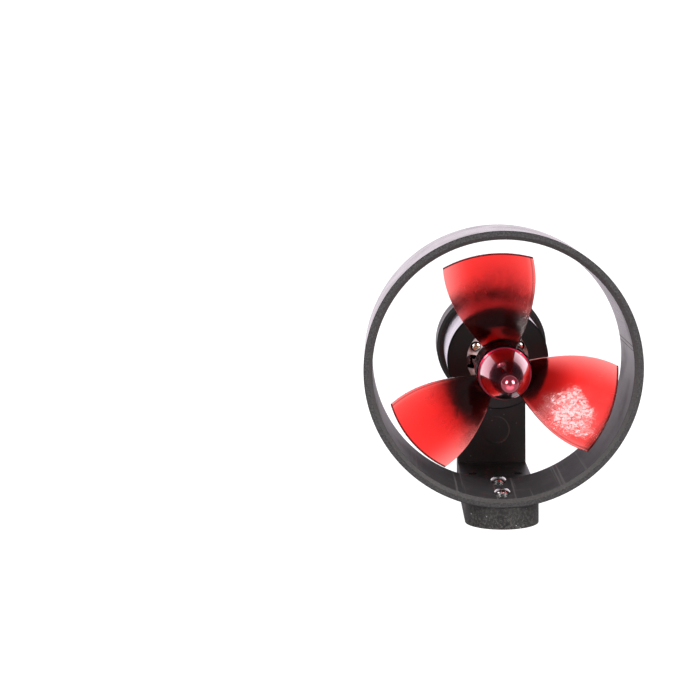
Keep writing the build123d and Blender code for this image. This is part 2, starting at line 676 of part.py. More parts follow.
def stator_coils():
    """One wound coil on each tooth."""
    inner = TOOTH_TIP_RADIUS + TOOTH_TIP_THICKNESS + COIL_GAP
    hole_width = TOOTH_WIDTH + 2 * COIL_GAP
    half_width = hole_width / 2 + COIL_THICKNESS
    yoke_inner = YOKE_RADIUS - YOKE_THICKNESS
    outer = math.sqrt(yoke_inner**2 - half_width**2) - COIL_GAP
    depth = outer - inner
    hole_length = STACK_LENGTH + 2 * COIL_GAP
    coil = Box(depth, hole_length + 2 * COIL_THICKNESS, 2 * half_width)
    coil = fillet(coil.edges().filter_by(Axis.X), COIL_CORNER)
    coil -= Box(depth * 2, hole_length, hole_width)
    placed = Pos((inner + outer) / 2, STACK_MIDDLE, 0) * coil
    return [lifted(copy) for copy in around(placed, TOOTH_COUNT)]


def rotor_core():
    """The rotor's steel core, with bosses that reach both bearings."""
    bore = SHAFT_RADIUS + FIXED_FIT
    return lifted(
        turned(
            [
                (bore, FRONT_BEARING_BACK),
                (ROTOR_BOSS_RADIUS, FRONT_BEARING_BACK),
                (ROTOR_BOSS_RADIUS, STACK_FRONT),
                (ROTOR_RADIUS, STACK_FRONT),
                (ROTOR_RADIUS, STACK_BACK),
                (ROTOR_BOSS_RADIUS, STACK_BACK),
                (ROTOR_BOSS_RADIUS, REAR_BEARING),
                (bore, REAR_BEARING),
            ]
        )
    )


def rotor_magnets():
    """Arc magnets on the rotor's core."""
    inner = ROTOR_RADIUS + FIXED_FIT
    outer = ROTOR_RADIUS + MAGNET_THICKNESS
    outline = make_face(
        Polyline(
            (inner, STACK_FRONT),
            (outer, STACK_FRONT),
            (outer, STACK_BACK),
            (inner, STACK_BACK),
            close=True,
        )
    )
    magnet = revolve(outline, Axis.Y, revolution_arc=MAGNET_SPAN)
    return [lifted(copy) for copy in around(magnet, MAGNET_COUNT)]


def race_groove(front):
    """The ball track, as a ring that is cut from both races."""
    track = Pos(BALL_CIRCLE, front + BEARING_WIDTH / 2) * Circle(BALL_RADIUS + RUNNING_FIT)
    return revolve(track, Axis.Y)


def outer_race(front):
    """A bearing's outer ring."""
    ring = tube(BEARING_RADIUS, OUTER_LAND_RADIUS, front, front + BEARING_WIDTH)
    return lifted(ring - race_groove(front))


def inner_race(front):
    """A bearing's inner ring."""
    ring = tube(INNER_LAND_RADIUS, SHAFT_RADIUS + FIXED_FIT, front, front + BEARING_WIDTH)
    return lifted(ring - race_groove(front))


def bearing_balls(front):
    """A bearing's balls."""
    ball = Pos(BALL_CIRCLE, front + BEARING_WIDTH / 2, 0) * Sphere(BALL_RADIUS)
    return [lifted(copy) for copy in around(ball, BALL_COUNT)]


def bearing_cage(front):
    """The ring that keeps a bearing's balls apart."""
    middle = front + BEARING_WIDTH / 2
    ring = tube(
        CAGE_OUTER_RADIUS, CAGE_INNER_RADIUS, middle - CAGE_WIDTH / 2, middle + CAGE_WIDTH / 2
    )
    pocket = Rot(0, 90, 0) * Cylinder(BALL_RADIUS + RUNNING_FIT, BALL_CIRCLE)
    for copy in around(Pos(BALL_CIRCLE, middle, 0) * pocket, BALL_COUNT):
        ring -= copy
    return lifted(ring)


def lead_grommet():
    """The rubber grommet in the bracket's back wall, which the leads come out of."""
    neck = slot_body(
        SLOT_WIDTH - 2 * FIXED_FIT, SLOT_HEIGHT - 2 * FIXED_FIT, MOTOR_BACK, BRACKET_BACK
    )
    flange = slot_body(
        SLOT_WIDTH + 2 * GROMMET_FLANGE, SLOT_HEIGHT + 2 * GROMMET_FLANGE, BRACKET_BACK, LEAD_EXIT
    )
    return lifted(neck + flange)


# Each lead's route, by hand: from the grommet down behind the pillar and back along the floor
LEAD_ROUTES = {
    "red": [
        (-LEAD_SPACING, LEAD_EXIT, LEAD_EXIT_HEIGHT),
        (-LEAD_SPACING, 36.2, LEAD_EXIT_HEIGHT),
        (-3.0, 42.2, 24.8),
        (-3.4, 44.6, 14.6),
        (-3.8, 50.2, 5.2),
        (-5.2, 60.6, 1.3),
        (-5.4, 71.4, 1.0),
        (-3.2, 81.6, 2.05),
        (-2.4, 90.4, 2.05),
    ],
    "yellow": [
        (0.0, LEAD_EXIT, LEAD_EXIT_HEIGHT),
        (0.0, 35.8, LEAD_EXIT_HEIGHT),
        (0.6, 40.8, 24.4),
        (0.4, 42.8, 14.2),
        (1.4, 48.0, 5.0),
        (2.2, 58.0, 1.3),
        (0.9, 68.6, 1.0),
        (1.8, 78.6, 2.05),
        (2.9, 87.4, 2.05),
    ],
    "black": [
        (LEAD_SPACING, LEAD_EXIT, LEAD_EXIT_HEIGHT),
        (LEAD_SPACING, 36.4, LEAD_EXIT_HEIGHT),
        (3.8, 42.8, 24.0),
        (4.6, 45.6, 14.0),
        (6.4, 51.4, 4.8),
        (8.6, 61.4, 1.3),
        (9.7, 71.8, 1.0),
        (8.4, 82.0, 2.05),
        (8.1, 91.0, 2.05),
    ],
}


def lead_path(points):
    """Straight runs joined by tangent arcs, each as large as its two runs allow."""
    spots = [Vector(*point) for point in points]
    runs = [after - before for before, after in zip(spots, spots[1:])]
    radii = []
    for before, after in zip(runs, runs[1:]):
        half_turn = math.radians(before.get_angle(after)) / 2
        radii.append(0.45 * min(before.length, after.length) / math.tan(half_turn))
    return FilletPolyline(*spots, radius=radii), radii


def lead(name):
    """A free lead, from the grommet to its plug."""
    path, radii = lead_path(LEAD_ROUTES[name])
    section = Plane(origin=path @ 0, z_dir=path % 0) * Circle(LEAD_DIAMETER / 2)
    body = sweep(section, path=path)
    expected = math.pi * (LEAD_DIAMETER / 2) ** 2 * path.length
    print(
        f"{name} lead: {path.length:.1f} long, volume {body.volume:.1f} of {expected:.1f}, radii",
        [round(radius, 1) for radius in radii],
    )
    return body


def at_lead_end(name, shape):
    """A shape that was drawn along +Z, placed on the end of a lead."""
    points = LEAD_ROUTES[name]
    end = Vector(*points[-1])
    return Plane(origin=end, z_dir=end - Vector(*points[-2])) * shape


def bullet_plug(name):
    """The bullet plug that is soldered to a lead: a cup, a collar and a sprung pin."""
    collar_front = PLUG_CUP_LENGTH + PLUG_COLLAR_LENGTH
    pin_front = collar_front + PLUG_PIN_LENGTH
    outline = [
        Line((0, 0), (PLUG_CUP_RADIUS, 0)),
        Line((PLUG_CUP_RADIUS, 0), (PLUG_CUP_RADIUS, PLUG_CUP_LENGTH)),
        Line((PLUG_CUP_RADIUS, PLUG_CUP_LENGTH), (PLUG_COLLAR_RADIUS, PLUG_CUP_LENGTH)),
        Line((PLUG_COLLAR_RADIUS, PLUG_CUP_LENGTH), (PLUG_COLLAR_RADIUS, collar_front)),
        Line((PLUG_COLLAR_RADIUS, collar_front), (PLUG_PIN_END_RADIUS, collar_front)),
        ThreePointArc(
            (PLUG_PIN_END_RADIUS, collar_front),
            (PLUG_COLLAR_RADIUS, collar_front + PLUG_PIN_LENGTH / 2),
            (PLUG_PIN_END_RADIUS, pin_front - PLUG_TIP_CHAMFER),
        ),
        Line(
            (PLUG_PIN_END_RADIUS, pin_front - PLUG_TIP_CHAMFER),
            (PLUG_PIN_END_RADIUS - PLUG_TIP_CHAMFER, pin_front),
        ),
        Line((PLUG_PIN_END_RADIUS - PLUG_TIP_CHAMFER, pin_front), (0, pin_front)),
        Line((0, pin_front), (0, 0)),
    ]
    return at_lead_end(name, revolve(Plane.XZ * make_face(outline), Axis.Z))


def lead_sleeve(name):
    """The shrink sleeve over a lead's end and its plug's cup."""
    over_lead = LEAD_DIAMETER / 2 + FIXED_FIT
    over_cup = PLUG_CUP_RADIUS + FIXED_FIT
    outline = Polyline(
        (over_lead, -SLEEVE_OVER_LEAD),
        (SLEEVE_END_RADIUS, -SLEEVE_OVER_LEAD),
        (SLEEVE_RADIUS, -SLEEVE_OVER_LEAD / 2),
        (SLEEVE_RADIUS, PLUG_CUP_LENGTH),
        (over_cup, PLUG_CUP_LENGTH),
        (over_cup, 0),
        (over_lead, 0),
        close=True,
    )
    return at_lead_end(name, revolve(Plane.XZ * make_face(outline), Axis.Z))


def save(name, shape):
    """Write one named piece, or a group of like pieces, to its own file."""
    solids = shape if isinstance(shape, list) else [shape]
    group = Compound(children=[solid for piece in solids for solid in piece.solids()])
    group.label = name
    export_step(group, f"parts/{name}.step")


def main():
    os.makedirs("parts", exist_ok=True)
    save("duct_ring", duct_ring())
    save("duct_screws", duct_screws())
    save("mount_bracket", mount_bracket())
    save("motor_screws", motor_screws())
    save("propeller", propeller())
    save("drive_dog", drive_dog())
    save("dog_grub_screw", dog_grub_screw())
    save("prop_washer", prop_washer())
    save("prop_nut", prop_nut())
    save("motor_shaft", motor_shaft())
    save("shaft_clip", shaft_clip())
    save("front_cover", front_cover())
    save("front_plate", front_plate())
    save("plate_screws", plate_screws())
    save("bearing_housing", bearing_housing())
    save("motor_can", motor_can())
    save("rear_end_cap", rear_end_cap())
    save("stator_core", stator_core())
    save("stator_coils", stator_coils())
    save("rotor_core", rotor_core())
    save("rotor_magnets", rotor_magnets())
    for place, front in (("front", FRONT_BEARING), ("rear", REAR_BEARING)):
        save(f"{place}_outer_race", outer_race(front))
        save(f"{place}_inner_race", inner_race(front))
        save(f"{place}_balls", bearing_balls(front))
        save(f"{place}_cage", bearing_cage(front))
    save("lead_grommet", lead_grommet())
    for name in LEAD_ROUTES:
        save(f"lead_{name}", lead(name))
        save(f"plug_{name}", bullet_plug(name))
        save(f"sleeve_{name}", lead_sleeve(name))


main()
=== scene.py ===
import json
import math

import bpy
from mathutils import Matrix, Vector

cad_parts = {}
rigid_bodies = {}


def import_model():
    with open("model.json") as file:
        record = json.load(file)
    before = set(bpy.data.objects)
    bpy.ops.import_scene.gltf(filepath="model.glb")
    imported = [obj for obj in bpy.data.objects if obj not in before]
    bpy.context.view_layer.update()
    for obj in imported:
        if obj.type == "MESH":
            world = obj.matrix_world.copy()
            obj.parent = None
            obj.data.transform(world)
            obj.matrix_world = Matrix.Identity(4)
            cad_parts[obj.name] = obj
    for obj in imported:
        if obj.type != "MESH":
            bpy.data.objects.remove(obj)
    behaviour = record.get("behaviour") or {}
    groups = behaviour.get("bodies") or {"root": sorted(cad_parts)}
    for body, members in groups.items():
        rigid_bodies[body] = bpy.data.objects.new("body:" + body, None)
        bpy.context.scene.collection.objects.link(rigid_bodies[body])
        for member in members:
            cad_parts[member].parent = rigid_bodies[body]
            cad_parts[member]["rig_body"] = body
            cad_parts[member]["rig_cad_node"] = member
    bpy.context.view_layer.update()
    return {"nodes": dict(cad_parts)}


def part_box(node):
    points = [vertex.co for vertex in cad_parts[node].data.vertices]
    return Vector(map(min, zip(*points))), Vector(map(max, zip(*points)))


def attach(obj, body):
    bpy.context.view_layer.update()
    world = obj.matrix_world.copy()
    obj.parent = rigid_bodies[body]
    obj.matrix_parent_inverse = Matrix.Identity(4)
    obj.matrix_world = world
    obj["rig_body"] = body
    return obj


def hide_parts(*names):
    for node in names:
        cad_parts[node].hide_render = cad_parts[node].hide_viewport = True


bl_info = {
    "name": "Ducted thruster finishes",
    "version": (1, 0, 0),
    "blender": (4, 5, 0),
    "location": "3D View > Sidebar > Thruster",
    "description": "Gives a ducted underwater thruster its leads, edges, finishes and studio",
    "category": "Object",
}

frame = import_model()

# Sizes taken from the CAD, in metres: the propeller's axis runs along y at AXIS_HEIGHT
DUCT_LOW, DUCT_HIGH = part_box("duct_ring")
NUT_LOW, NUT_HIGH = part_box("prop_nut")
AXIS_HEIGHT = (DUCT_LOW.z + DUCT_HIGH.z) / 2
DUCT_RADIUS = (DUCT_HIGH.x - DUCT_LOW.x) / 2
NUT_TIP = NUT_LOW.y
NUT_RADIUS = (NUT_HIGH.x - NUT_LOW.x) / 2
BLADE_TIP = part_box("propeller")[1].z - AXIS_HEIGHT

# Each lead's route: from the grommet down behind the pillar and back along the floor
LEAD_ROUTES = {
    "red": [
        (-0.0025, 0.0279, 0.0326),
        (-0.0025, 0.0362, 0.0326),
        (-0.0030, 0.0422, 0.0248),
        (-0.0034, 0.0446, 0.0146),
        (-0.0038, 0.0502, 0.0052),
        (-0.0052, 0.0606, 0.0013),
        (-0.0054, 0.0714, 0.0010),
        (-0.0032, 0.0816, 0.00205),
        (-0.0024, 0.0904, 0.00205),
    ],
    "yellow": [
        (0.0, 0.0279, 0.0326),
        (0.0, 0.0358, 0.0326),
        (0.0006, 0.0408, 0.0244),
        (0.0004, 0.0428, 0.0142),
        (0.0014, 0.0480, 0.0050),
        (0.0022, 0.0580, 0.0013),
        (0.0009, 0.0686, 0.0010),
        (0.0018, 0.0786, 0.00205),
        (0.0029, 0.0874, 0.00205),
    ],
    "black": [
        (0.0025, 0.0279, 0.0326),
        (0.0025, 0.0364, 0.0326),
        (0.0038, 0.0428, 0.0240),
        (0.0046, 0.0456, 0.0140),
        (0.0064, 0.0514, 0.0048),
        (0.0086, 0.0614, 0.0013),
        (0.0097, 0.0718, 0.0010),
        (0.0084, 0.0820, 0.00205),
        (0.0081, 0.0910, 0.00205),
    ],
}

# The upper mouth of the nut's cross hole, round which a highlight is painted: its turn about the axis,
# how far out and how far behind the tip
CROSS_HOLE_TURN = math.radians(114.0)
CROSS_HOLE_OUT = 0.00455
CROSS_HOLE_BACK = 0.0082
CROSS_HOLE_PLACE = (
    CROSS_HOLE_OUT * math.cos(CROSS_HOLE_TURN),
    NUT_TIP + CROSS_HOLE_BACK,
    AXIS_HEIGHT + CROSS_HOLE_OUT * math.sin(CROSS_HOLE_TURN),
)

# The nut's round knob, from its tip back
KNOB_LENGTH = 0.0029

# A blade's outline seen along the axis, and its turn as a share of a full one. There are three blades
BLADE_HALF_WIDTH = 0.0120
BLADE_WIDEST_AT = 0.0270
BLADE_TURN = 97.8 / 360.0
BLADE_PHASE = 0.5 - 3.0 * (0.5 + BLADE_TURN)

# On the blades: the middle of a painted haze of dim blurred reflection, and of the scuffed patch, which
# is wear
REFLECTION_HAZE_PLACE = (-0.0010, -0.0345, AXIS_HEIGHT + 0.0218)
SCUFF_PLACE = (0.0195, -0.0366, 0.0321)

# Two hairlines along the duct's bore: where each starts and ends round it, as shares of a turn
HAIRLINES = ((0.5267, 0.5277), (0.5215, 0.5223))

# The edge of the round recess on the pillar, where a highlight is painted: x and z of its middle, and its
# inner and outer radius
MARK_PLACE = (0.0012, AXIS_HEIGHT - 0.0256)
MARK_RING = (0.00385, 0.00425)

# Distance between neighbouring turns of the wound wire, and between the waves of a texture of scale 1
WIRE_PITCH = 0.00032
WAVE_STEP = math.pi / 10.0

# Broken edges of the copies that stand for CAD nodes
BRACKET_EDGE = 0.00018
BLADE_EDGE = 0.00014
EDGE_SEGMENTS = 2
EDGE_ANGLE = math.radians(30.0)

# Directions of the camera's right side and back
CAMERA_RIGHT = (0.99972, 0.01685, -0.01634)
CAMERA_BACK = (0.01887, -0.99100, 0.13252)

# Glow of the studio's paper
WHITE = (1.0, 1.0, 1.0)
BRIGHT_PAPER = (1.12, 1.0, 1.10)
DIM_FLOOR = (0.16, 0.15, 0.16)
DIM_WALL = (0.42, 0.38, 0.41)

# The floor turns bright behind the thruster, between these places along y, and in a pool in front of it
FAR_FLOOR = (0.08, 0.36)
POOL_Y = -0.15
POOL_EDGE = (0.05, 0.09)

# The wall stands here along y, and dims between these heights
WALL_Y = 2.2
WALL_FADE = (0.40, 1.60)

# Name, place, size and power of each soft box
SOFT_BOXES = (
    ("left_box", (-0.92, -0.98, 0.66), (0.50, 0.70), 15.0),
    ("right_box", (0.80, -0.93, 0.60), (0.58, 0.72), 16.0),
)

# Glow of the air all round
AIR_COLOUR = (1.0, 0.92, 0.98, 1.0)
AIR_STRENGTH = 0.20


def colour_setting(name, description, default):
    """A colour that the sidebar shows as a swatch."""
    return bpy.props.FloatVectorProperty(
        name=name, description=description, default=default, subtype="COLOR", min=0.0, max=1.0
    )


class ThrusterStudio(bpy.types.PropertyGroup):
    """The camera and the floor."""

    lens: bpy.props.FloatProperty(
        name="Lens", description="Focal length of the camera", default=90.46, unit="CAMERA"
    )
    camera_place: bpy.props.FloatVectorProperty(
        name="Camera",
        description="Where the camera stands",
        default=(-0.0321, -0.5030, 0.1120),
        subtype="TRANSLATION",
        unit="LENGTH",
    )
    floor_colour: colour_setting("Floor", "Colour of the floor", (0.28, 0.28, 0.28))
    floor_radius: bpy.props.FloatProperty(
        name="Floor radius", description="Radius of the floor", default=4.0, unit="LENGTH"
    )


class ThrusterPlastics(bpy.types.PropertyGroup):
    """Colours of the plastic pieces."""

    duct_colour: colour_setting("Duct", "Colour of the duct's skin", (0.014, 0.014, 0.015))
    rim_colour: colour_setting("Duct's rim", "Colour of the cut front face", (0.062, 0.058, 0.057))
    bracket_colour: colour_setting("Bracket", "Colour of the bracket", (0.0105, 0.0095, 0.0088))
    blade_colour: colour_setting("Blades", "Tint of the clear blades", (1.0, 0.23, 0.21))
    blade_depth: bpy.props.FloatProperty(
        name="Blade depth", description="How strongly the blades colour light, per metre", default=1480.0
    )
    grommet_colour: colour_setting("Grommet", "Colour of the grommet", (0.018, 0.018, 0.018))


class ThrusterMetals(bpy.types.PropertyGroup):
    """Colours of the metal pieces."""

    nut_colour: colour_setting("Nut", "Colour of the anodised nut", (0.43, 0.010, 0.050))
    stainless_colour: colour_setting("Screws", "Colour of the screws", (0.80, 0.78, 0.76))
    # The plate's colour is its pale metal with a pink tint painted in as the reflection of the red blades
    plate_colour: colour_setting("Plate", "Colour of the front plate", (0.80, 0.66, 0.66))
    can_colour: colour_setting("Motor", "Colour of the motor's can", (0.62, 0.61, 0.66))
    brass_colour: colour_setting("Brass", "Colour of the drive dog and cages", (0.72, 0.51, 0.24))
    copper_colour: colour_setting("Windings", "Colour of the wound wire", (0.60, 0.22, 0.09))


class ThrusterLeads(bpy.types.PropertyGroup):
    """Size and colours of the leads."""

    diameter: bpy.props.FloatProperty(
        name="Diameter", description="Diameter over the silicone", default=0.0018, unit="LENGTH"
    )
    red_colour: colour_setting("Red lead", "Colour of the red lead", (0.58, 0.018, 0.015))
    yellow_colour: colour_setting("Yellow lead", "Colour of the yellow lead", (0.80, 0.50, 0.02))
    black_colour: colour_setting("Black lead", "Colour of the black lead", (0.014, 0.014, 0.015))


class Wire:
    """A number that a shader works out. Sums written with it add Math nodes."""

    def __init__(self, finish, socket):
        self.finish = finish
        self.socket = socket

    def __add__(self, other):
        return self.finish.maths("ADD", self, other)

    def __radd__(self, other):
        return self.finish.maths("ADD", other, self)

    def __sub__(self, other):
        return self.finish.maths("SUBTRACT", self, other)

    def __rsub__(self, other):
        return self.finish.maths("SUBTRACT", other, self)

    def __mul__(self, other):
        return self.finish.maths("MULTIPLY", self, other)

    def __rmul__(self, other):
        return self.finish.maths("MULTIPLY", other, self)

    def __pow__(self, other):
        return self.finish.maths("POWER", self, other)


class Finish:
    """A material in the making: a plain colour and roughness first, then nodes for grain and wear.

    Every size and depth is in metres, and every pattern follows the piece's own coordinates.
    """

    def __init__(self, name, colour, roughness, metallic=0.0, **sockets):
        self.material = bpy.data.materials.new(name)
        self.material.use_nodes = True
        self.tree = self.material.node_tree
        self.shader = self.tree.nodes["Principled BSDF"]
        self.count = 0
        self.set(Base_Color=(*colour, 1.0), Roughness=roughness, Metallic=metallic, **sockets)
        self.place = self.add("ShaderNodeTexCoord", output="Object")

    def add(self, kind, settings=None, inputs=None, output=0):
        """Any node: its settings first, then the values or wires of its sockets."""
        node = self.tree.nodes.new(kind)
        node.location = (-1400 + 180 * (self.count % 7), 400 - 220 * (self.count // 7))
        self.count += 1
        for name, value in (settings or {}).items():
            setattr(node, name, value)
        for name, value in (inputs or {}).items():
            self.feed(node.inputs[name], value)
        return Wire(self, node.outputs[output])

    def feed(self, socket, value):
        """A wire into a socket, or a plain value on it."""
        if isinstance(value, Wire):
            self.tree.links.new(value.socket, socket)
        else:
            socket.default_value = value

    def set(self, **sockets):
        """Sockets of the main shader, with an underscore for each space in a name."""
        for name, value in sockets.items():
            self.feed(self.shader.inputs[name.replace("_", " ")], value)

    def maths(self, operation, first, second=0.0):
        """One Math node."""
        return self.add("ShaderNodeMath", {"operation": operation}, {0: first, 1: second})

    def moved(self, place, scale=(1.0, 1.0, 1.0), turn=(0.0, 0.0, 0.0)):
        """Coordinates about a place, scaled and then turned."""
        shifted = self.add(
            "ShaderNodeVectorMath", {"operation": "SUBTRACT"}, {0: self.place, 1: place}
        )
        return self.add(
            "ShaderNodeMapping", {}, {"Vector": shifted, "Rotation": turn, "Scale": scale}
        )

    def parts(self, vector=None):
        """The x, y and z of coordinates."""
        split = self.add("ShaderNodeSeparateXYZ", {}, {0: vector or self.place}).socket.node
        return [Wire(self, socket) for socket in split.outputs]

    def round_axis(self):
        """Distance from the propeller's axis and turn about it, from 0 to 1."""
        x, _, z = self.parts(self.moved((0.0, 0.0, AXIS_HEIGHT)))
        radius = (x * x + z * z) ** 0.5
        turn = self.maths("ARCTAN2", z, x) * (0.5 / math.pi) + 0.5
        return radius, turn

    def across_blade(self, radius, turn):
        """Place across the nearest blade, from -1 at one edge to 1 at the other.

        Half a blade's width follows a sine that starts at the axis and peaks at BLADE_WIDEST_AT.
        """
        share = self.maths("FRACT", turn * 3.0 + BLADE_PHASE) - 0.5
        angle = share * (2.0 * math.pi / 3.0)
        along = radius * self.maths("COSINE", angle)
        aside = radius * self.maths("SINE", angle)
        width = self.maths("SINE", along * (0.5 * math.pi / BLADE_WIDEST_AT)) * BLADE_HALF_WIDTH
        return self.maths("DIVIDE", aside, width)

    def vector(self, x, y, z):
        """Coordinates put together from three numbers."""
        return self.add("ShaderNodeCombineXYZ", {}, {0: x, 1: y, 2: z})

    def noise(self, size, detail=3.0, rough=0.55, vector=None, warp=0.0):
        """Soft random shades from 0 to 1, whose lumps are about size metres."""
        return self.add(
            "ShaderNodeTexNoise",
            {},
            {
                "Vector": vector or self.place,
                "Scale": 1.0 / size,
                "Detail": detail,
                "Roughness": rough,
                "Distortion": warp,
            },
        )

    def cells(self, size):
        """Distance to the nearest of many random points, which lie about size metres apart."""
        inputs = {"Vector": self.place, "Scale": 1.0 / size}
        return self.add("ShaderNodeTexVoronoi", {}, inputs, output="Distance")

    def ramp(self, value, low, high):
        """A smooth step from 0 at low to 1 at high."""
        return self.add(
            "ShaderNodeMapRange", {"interpolation_type": "SMOOTHSTEP"}, {0: value, 1: low, 2: high}
        )

    def band(self, value, low, high, edge):
        """1 between two values and 0 outside them, with soft ends."""
        rise = self.ramp(value, low - edge, low + edge)
        return rise * (1.0 - self.ramp(value, high - edge, high + edge))

    def ball_mask(self, place, radius, soft):
        """1 near a place, fading to 0 at a radius."""
        away = self.add("ShaderNodeVectorMath", {"operation": "DISTANCE"}, {0: self.place, 1: place}, 1)
        return 1.0 - self.ramp(away, radius - soft, radius)

    def blend(self, mask, first, second):
        """One colour where the mask is 0 and another where it is 1."""
        colours = [shade if isinstance(shade, Wire) else (*shade, 1.0) for shade in (first, second)]
        return self.add(
            "ShaderNodeMix",
            {"data_type": "RGBA", "blend_type": "MIX"},
            {0: mask, 6: colours[0], 7: colours[1]},
            output=2,
        )

    def bump(self, height, depth, strength, over=None):
        """A normal from a height, depth metres deep, over another normal if one is given."""
        inputs = {"Height": height, "Distance": depth, "Strength": strength}
        if over is not None:
            inputs["Normal"] = over
        return self.add("ShaderNodeBump", {}, inputs)


def paint(finish, *names):
    """Put a finish on CAD nodes."""
    for name in names:
        piece = frame["nodes"][name]
        for slot in piece.material_slots:
            slot.material = finish.material


def settings(context):
    """The four groups of settings."""
    scene = context.scene
    return scene.thruster_studio, scene.thruster_plastics, scene.thruster_metals, scene.thruster_leads


def select_only(piece):
    """Make one object the only selected and active one."""
    bpy.ops.object.select_all(action="DESELECT")
    piece.select_set(True)
    bpy.context.view_layer.objects.active = piece


def edged_copy(name, body, width):
    """A copy of a CAD node whose sharp edges are broken, which then stands for the node."""
    source = frame["nodes"][name]
    select_only(source)
    bpy.ops.object.duplicate()
    piece = bpy.context.view_layer.objects.active
    piece.name = name + "_edged"
    piece.data.name = piece.name
    bpy.ops.object.parent_clear(type="CLEAR_KEEP_TRANSFORM")
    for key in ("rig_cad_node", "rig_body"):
        if key in piece:
            del piece[key]
    bpy.ops.mesh.customdata_custom_splitnormals_clear()
    bpy.ops.object.mode_set(mode="EDIT")
    bpy.ops.mesh.select_all(action="SELECT")
    bpy.ops.mesh.remove_doubles(threshold=0.000002)
    bpy.ops.mesh.dissolve_limited(angle_limit=math.radians(0.6))
    bpy.ops.object.mode_set(mode="OBJECT")
    edge = piece.modifiers.new("Edge", "BEVEL")
    edge.width = width
    edge.segments = EDGE_SEGMENTS
    edge.limit_method = "ANGLE"
    edge.angle_limit = EDGE_ANGLE
    bpy.ops.object.modifier_apply(modifier="Edge")
    bpy.ops.object.shade_smooth_by_angle(angle=EDGE_ANGLE)
    normals = piece.modifiers.new("Normals", "WEIGHTED_NORMAL")
    normals.keep_sharp = True
    bpy.ops.object.modifier_apply(modifier="Normals")
    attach(piece, body)
    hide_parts(name)
    return piece


def give(piece, finish):
    """Put a finish on a piece made here."""
    piece.data.materials.clear()
    piece.data.materials.append(finish.material)


class THRUSTER_OT_camera(bpy.types.Operator):
    """Place the camera at the photograph's viewing angle"""

    bl_idname = "thruster.camera"
    bl_label = "Camera"

    def execute(self, context):
        studio = context.scene.thruster_studio
        right = Vector(CAMERA_RIGHT).normalized()
        back = Vector(CAMERA_BACK).normalized()
        up = back.cross(right).normalized()
        right = up.cross(back)
        turn = Matrix((right, up, back)).transposed().to_4x4()
        bpy.ops.object.camera_add(location=studio.camera_place)
        camera = context.object
        camera.name = "camera"
        camera.matrix_world = Matrix.Translation(studio.camera_place) @ turn
        camera.data.lens = studio.lens
        camera.data.sensor_width = 36.0
        camera.data.clip_start = 0.01
        camera.data.clip_end = 50.0
        context.scene.camera = camera
        return {"FINISHED"}


class THRUSTER_OT_leads(bpy.types.Operator):
    """Lay the three silicone leads from the grommet to their plugs"""

    bl_idname = "thruster.leads"
    bl_label = "Leads"

    def execute(self, context):
        leads = context.scene.thruster_leads
        colours = {
            "red": leads.red_colour,
            "yellow": leads.yellow_colour,
            "black": leads.black_colour,
        }
        for name, route in LEAD_ROUTES.items():
            line = bpy.data.curves.new("lead_" + name + "_free", "CURVE")
            line.dimensions = "3D"
            line.resolution_u = 16
            line.bevel_depth = 1.0
            line.bevel_resolution = 6
            line.use_fill_caps = True
            spline = line.splines.new("NURBS")
            spline.points.add(len(route) - 1)
            for point, place in zip(spline.points, route):
                point.co = (*place, 1.0)
                point.radius = leads.diameter / 2
            spline.order_u = 3
            spline.use_endpoint_u = True
            piece = bpy.data.objects.new(line.name, line)
            context.collection.objects.link(piece)
            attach(piece, "housing")
            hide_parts("lead_" + name)
            give(piece, silicone(name + "_silicone", colours[name]))
        return {"FINISHED"}


def silicone(name, colour):
    """Soft silicone with a dusty bloom, a fine grain and faint handling dents."""
    finish = Finish(name, colour, 0.5, Specular_IOR_Level=0.4)
    bloom = finish.ramp(finish.noise(0.0022, 4.0), 0.45, 0.75)
    paler = tuple(0.82 * c + 0.10 for c in colour)
    finish.set(Base_Color=finish.blend(bloom * 0.35, tuple(colour), paler))
    finish.set(Roughness=0.42 + 0.22 * finish.noise(0.0009))
    grain = finish.noise(0.00012, 2.0)
    dents = finish.noise(0.0016, 2.0)
    finish.set(Normal=finish.bump(grain, 0.00001, 0.4, finish.bump(dents, 0.00008, 0.5)))
    return finish


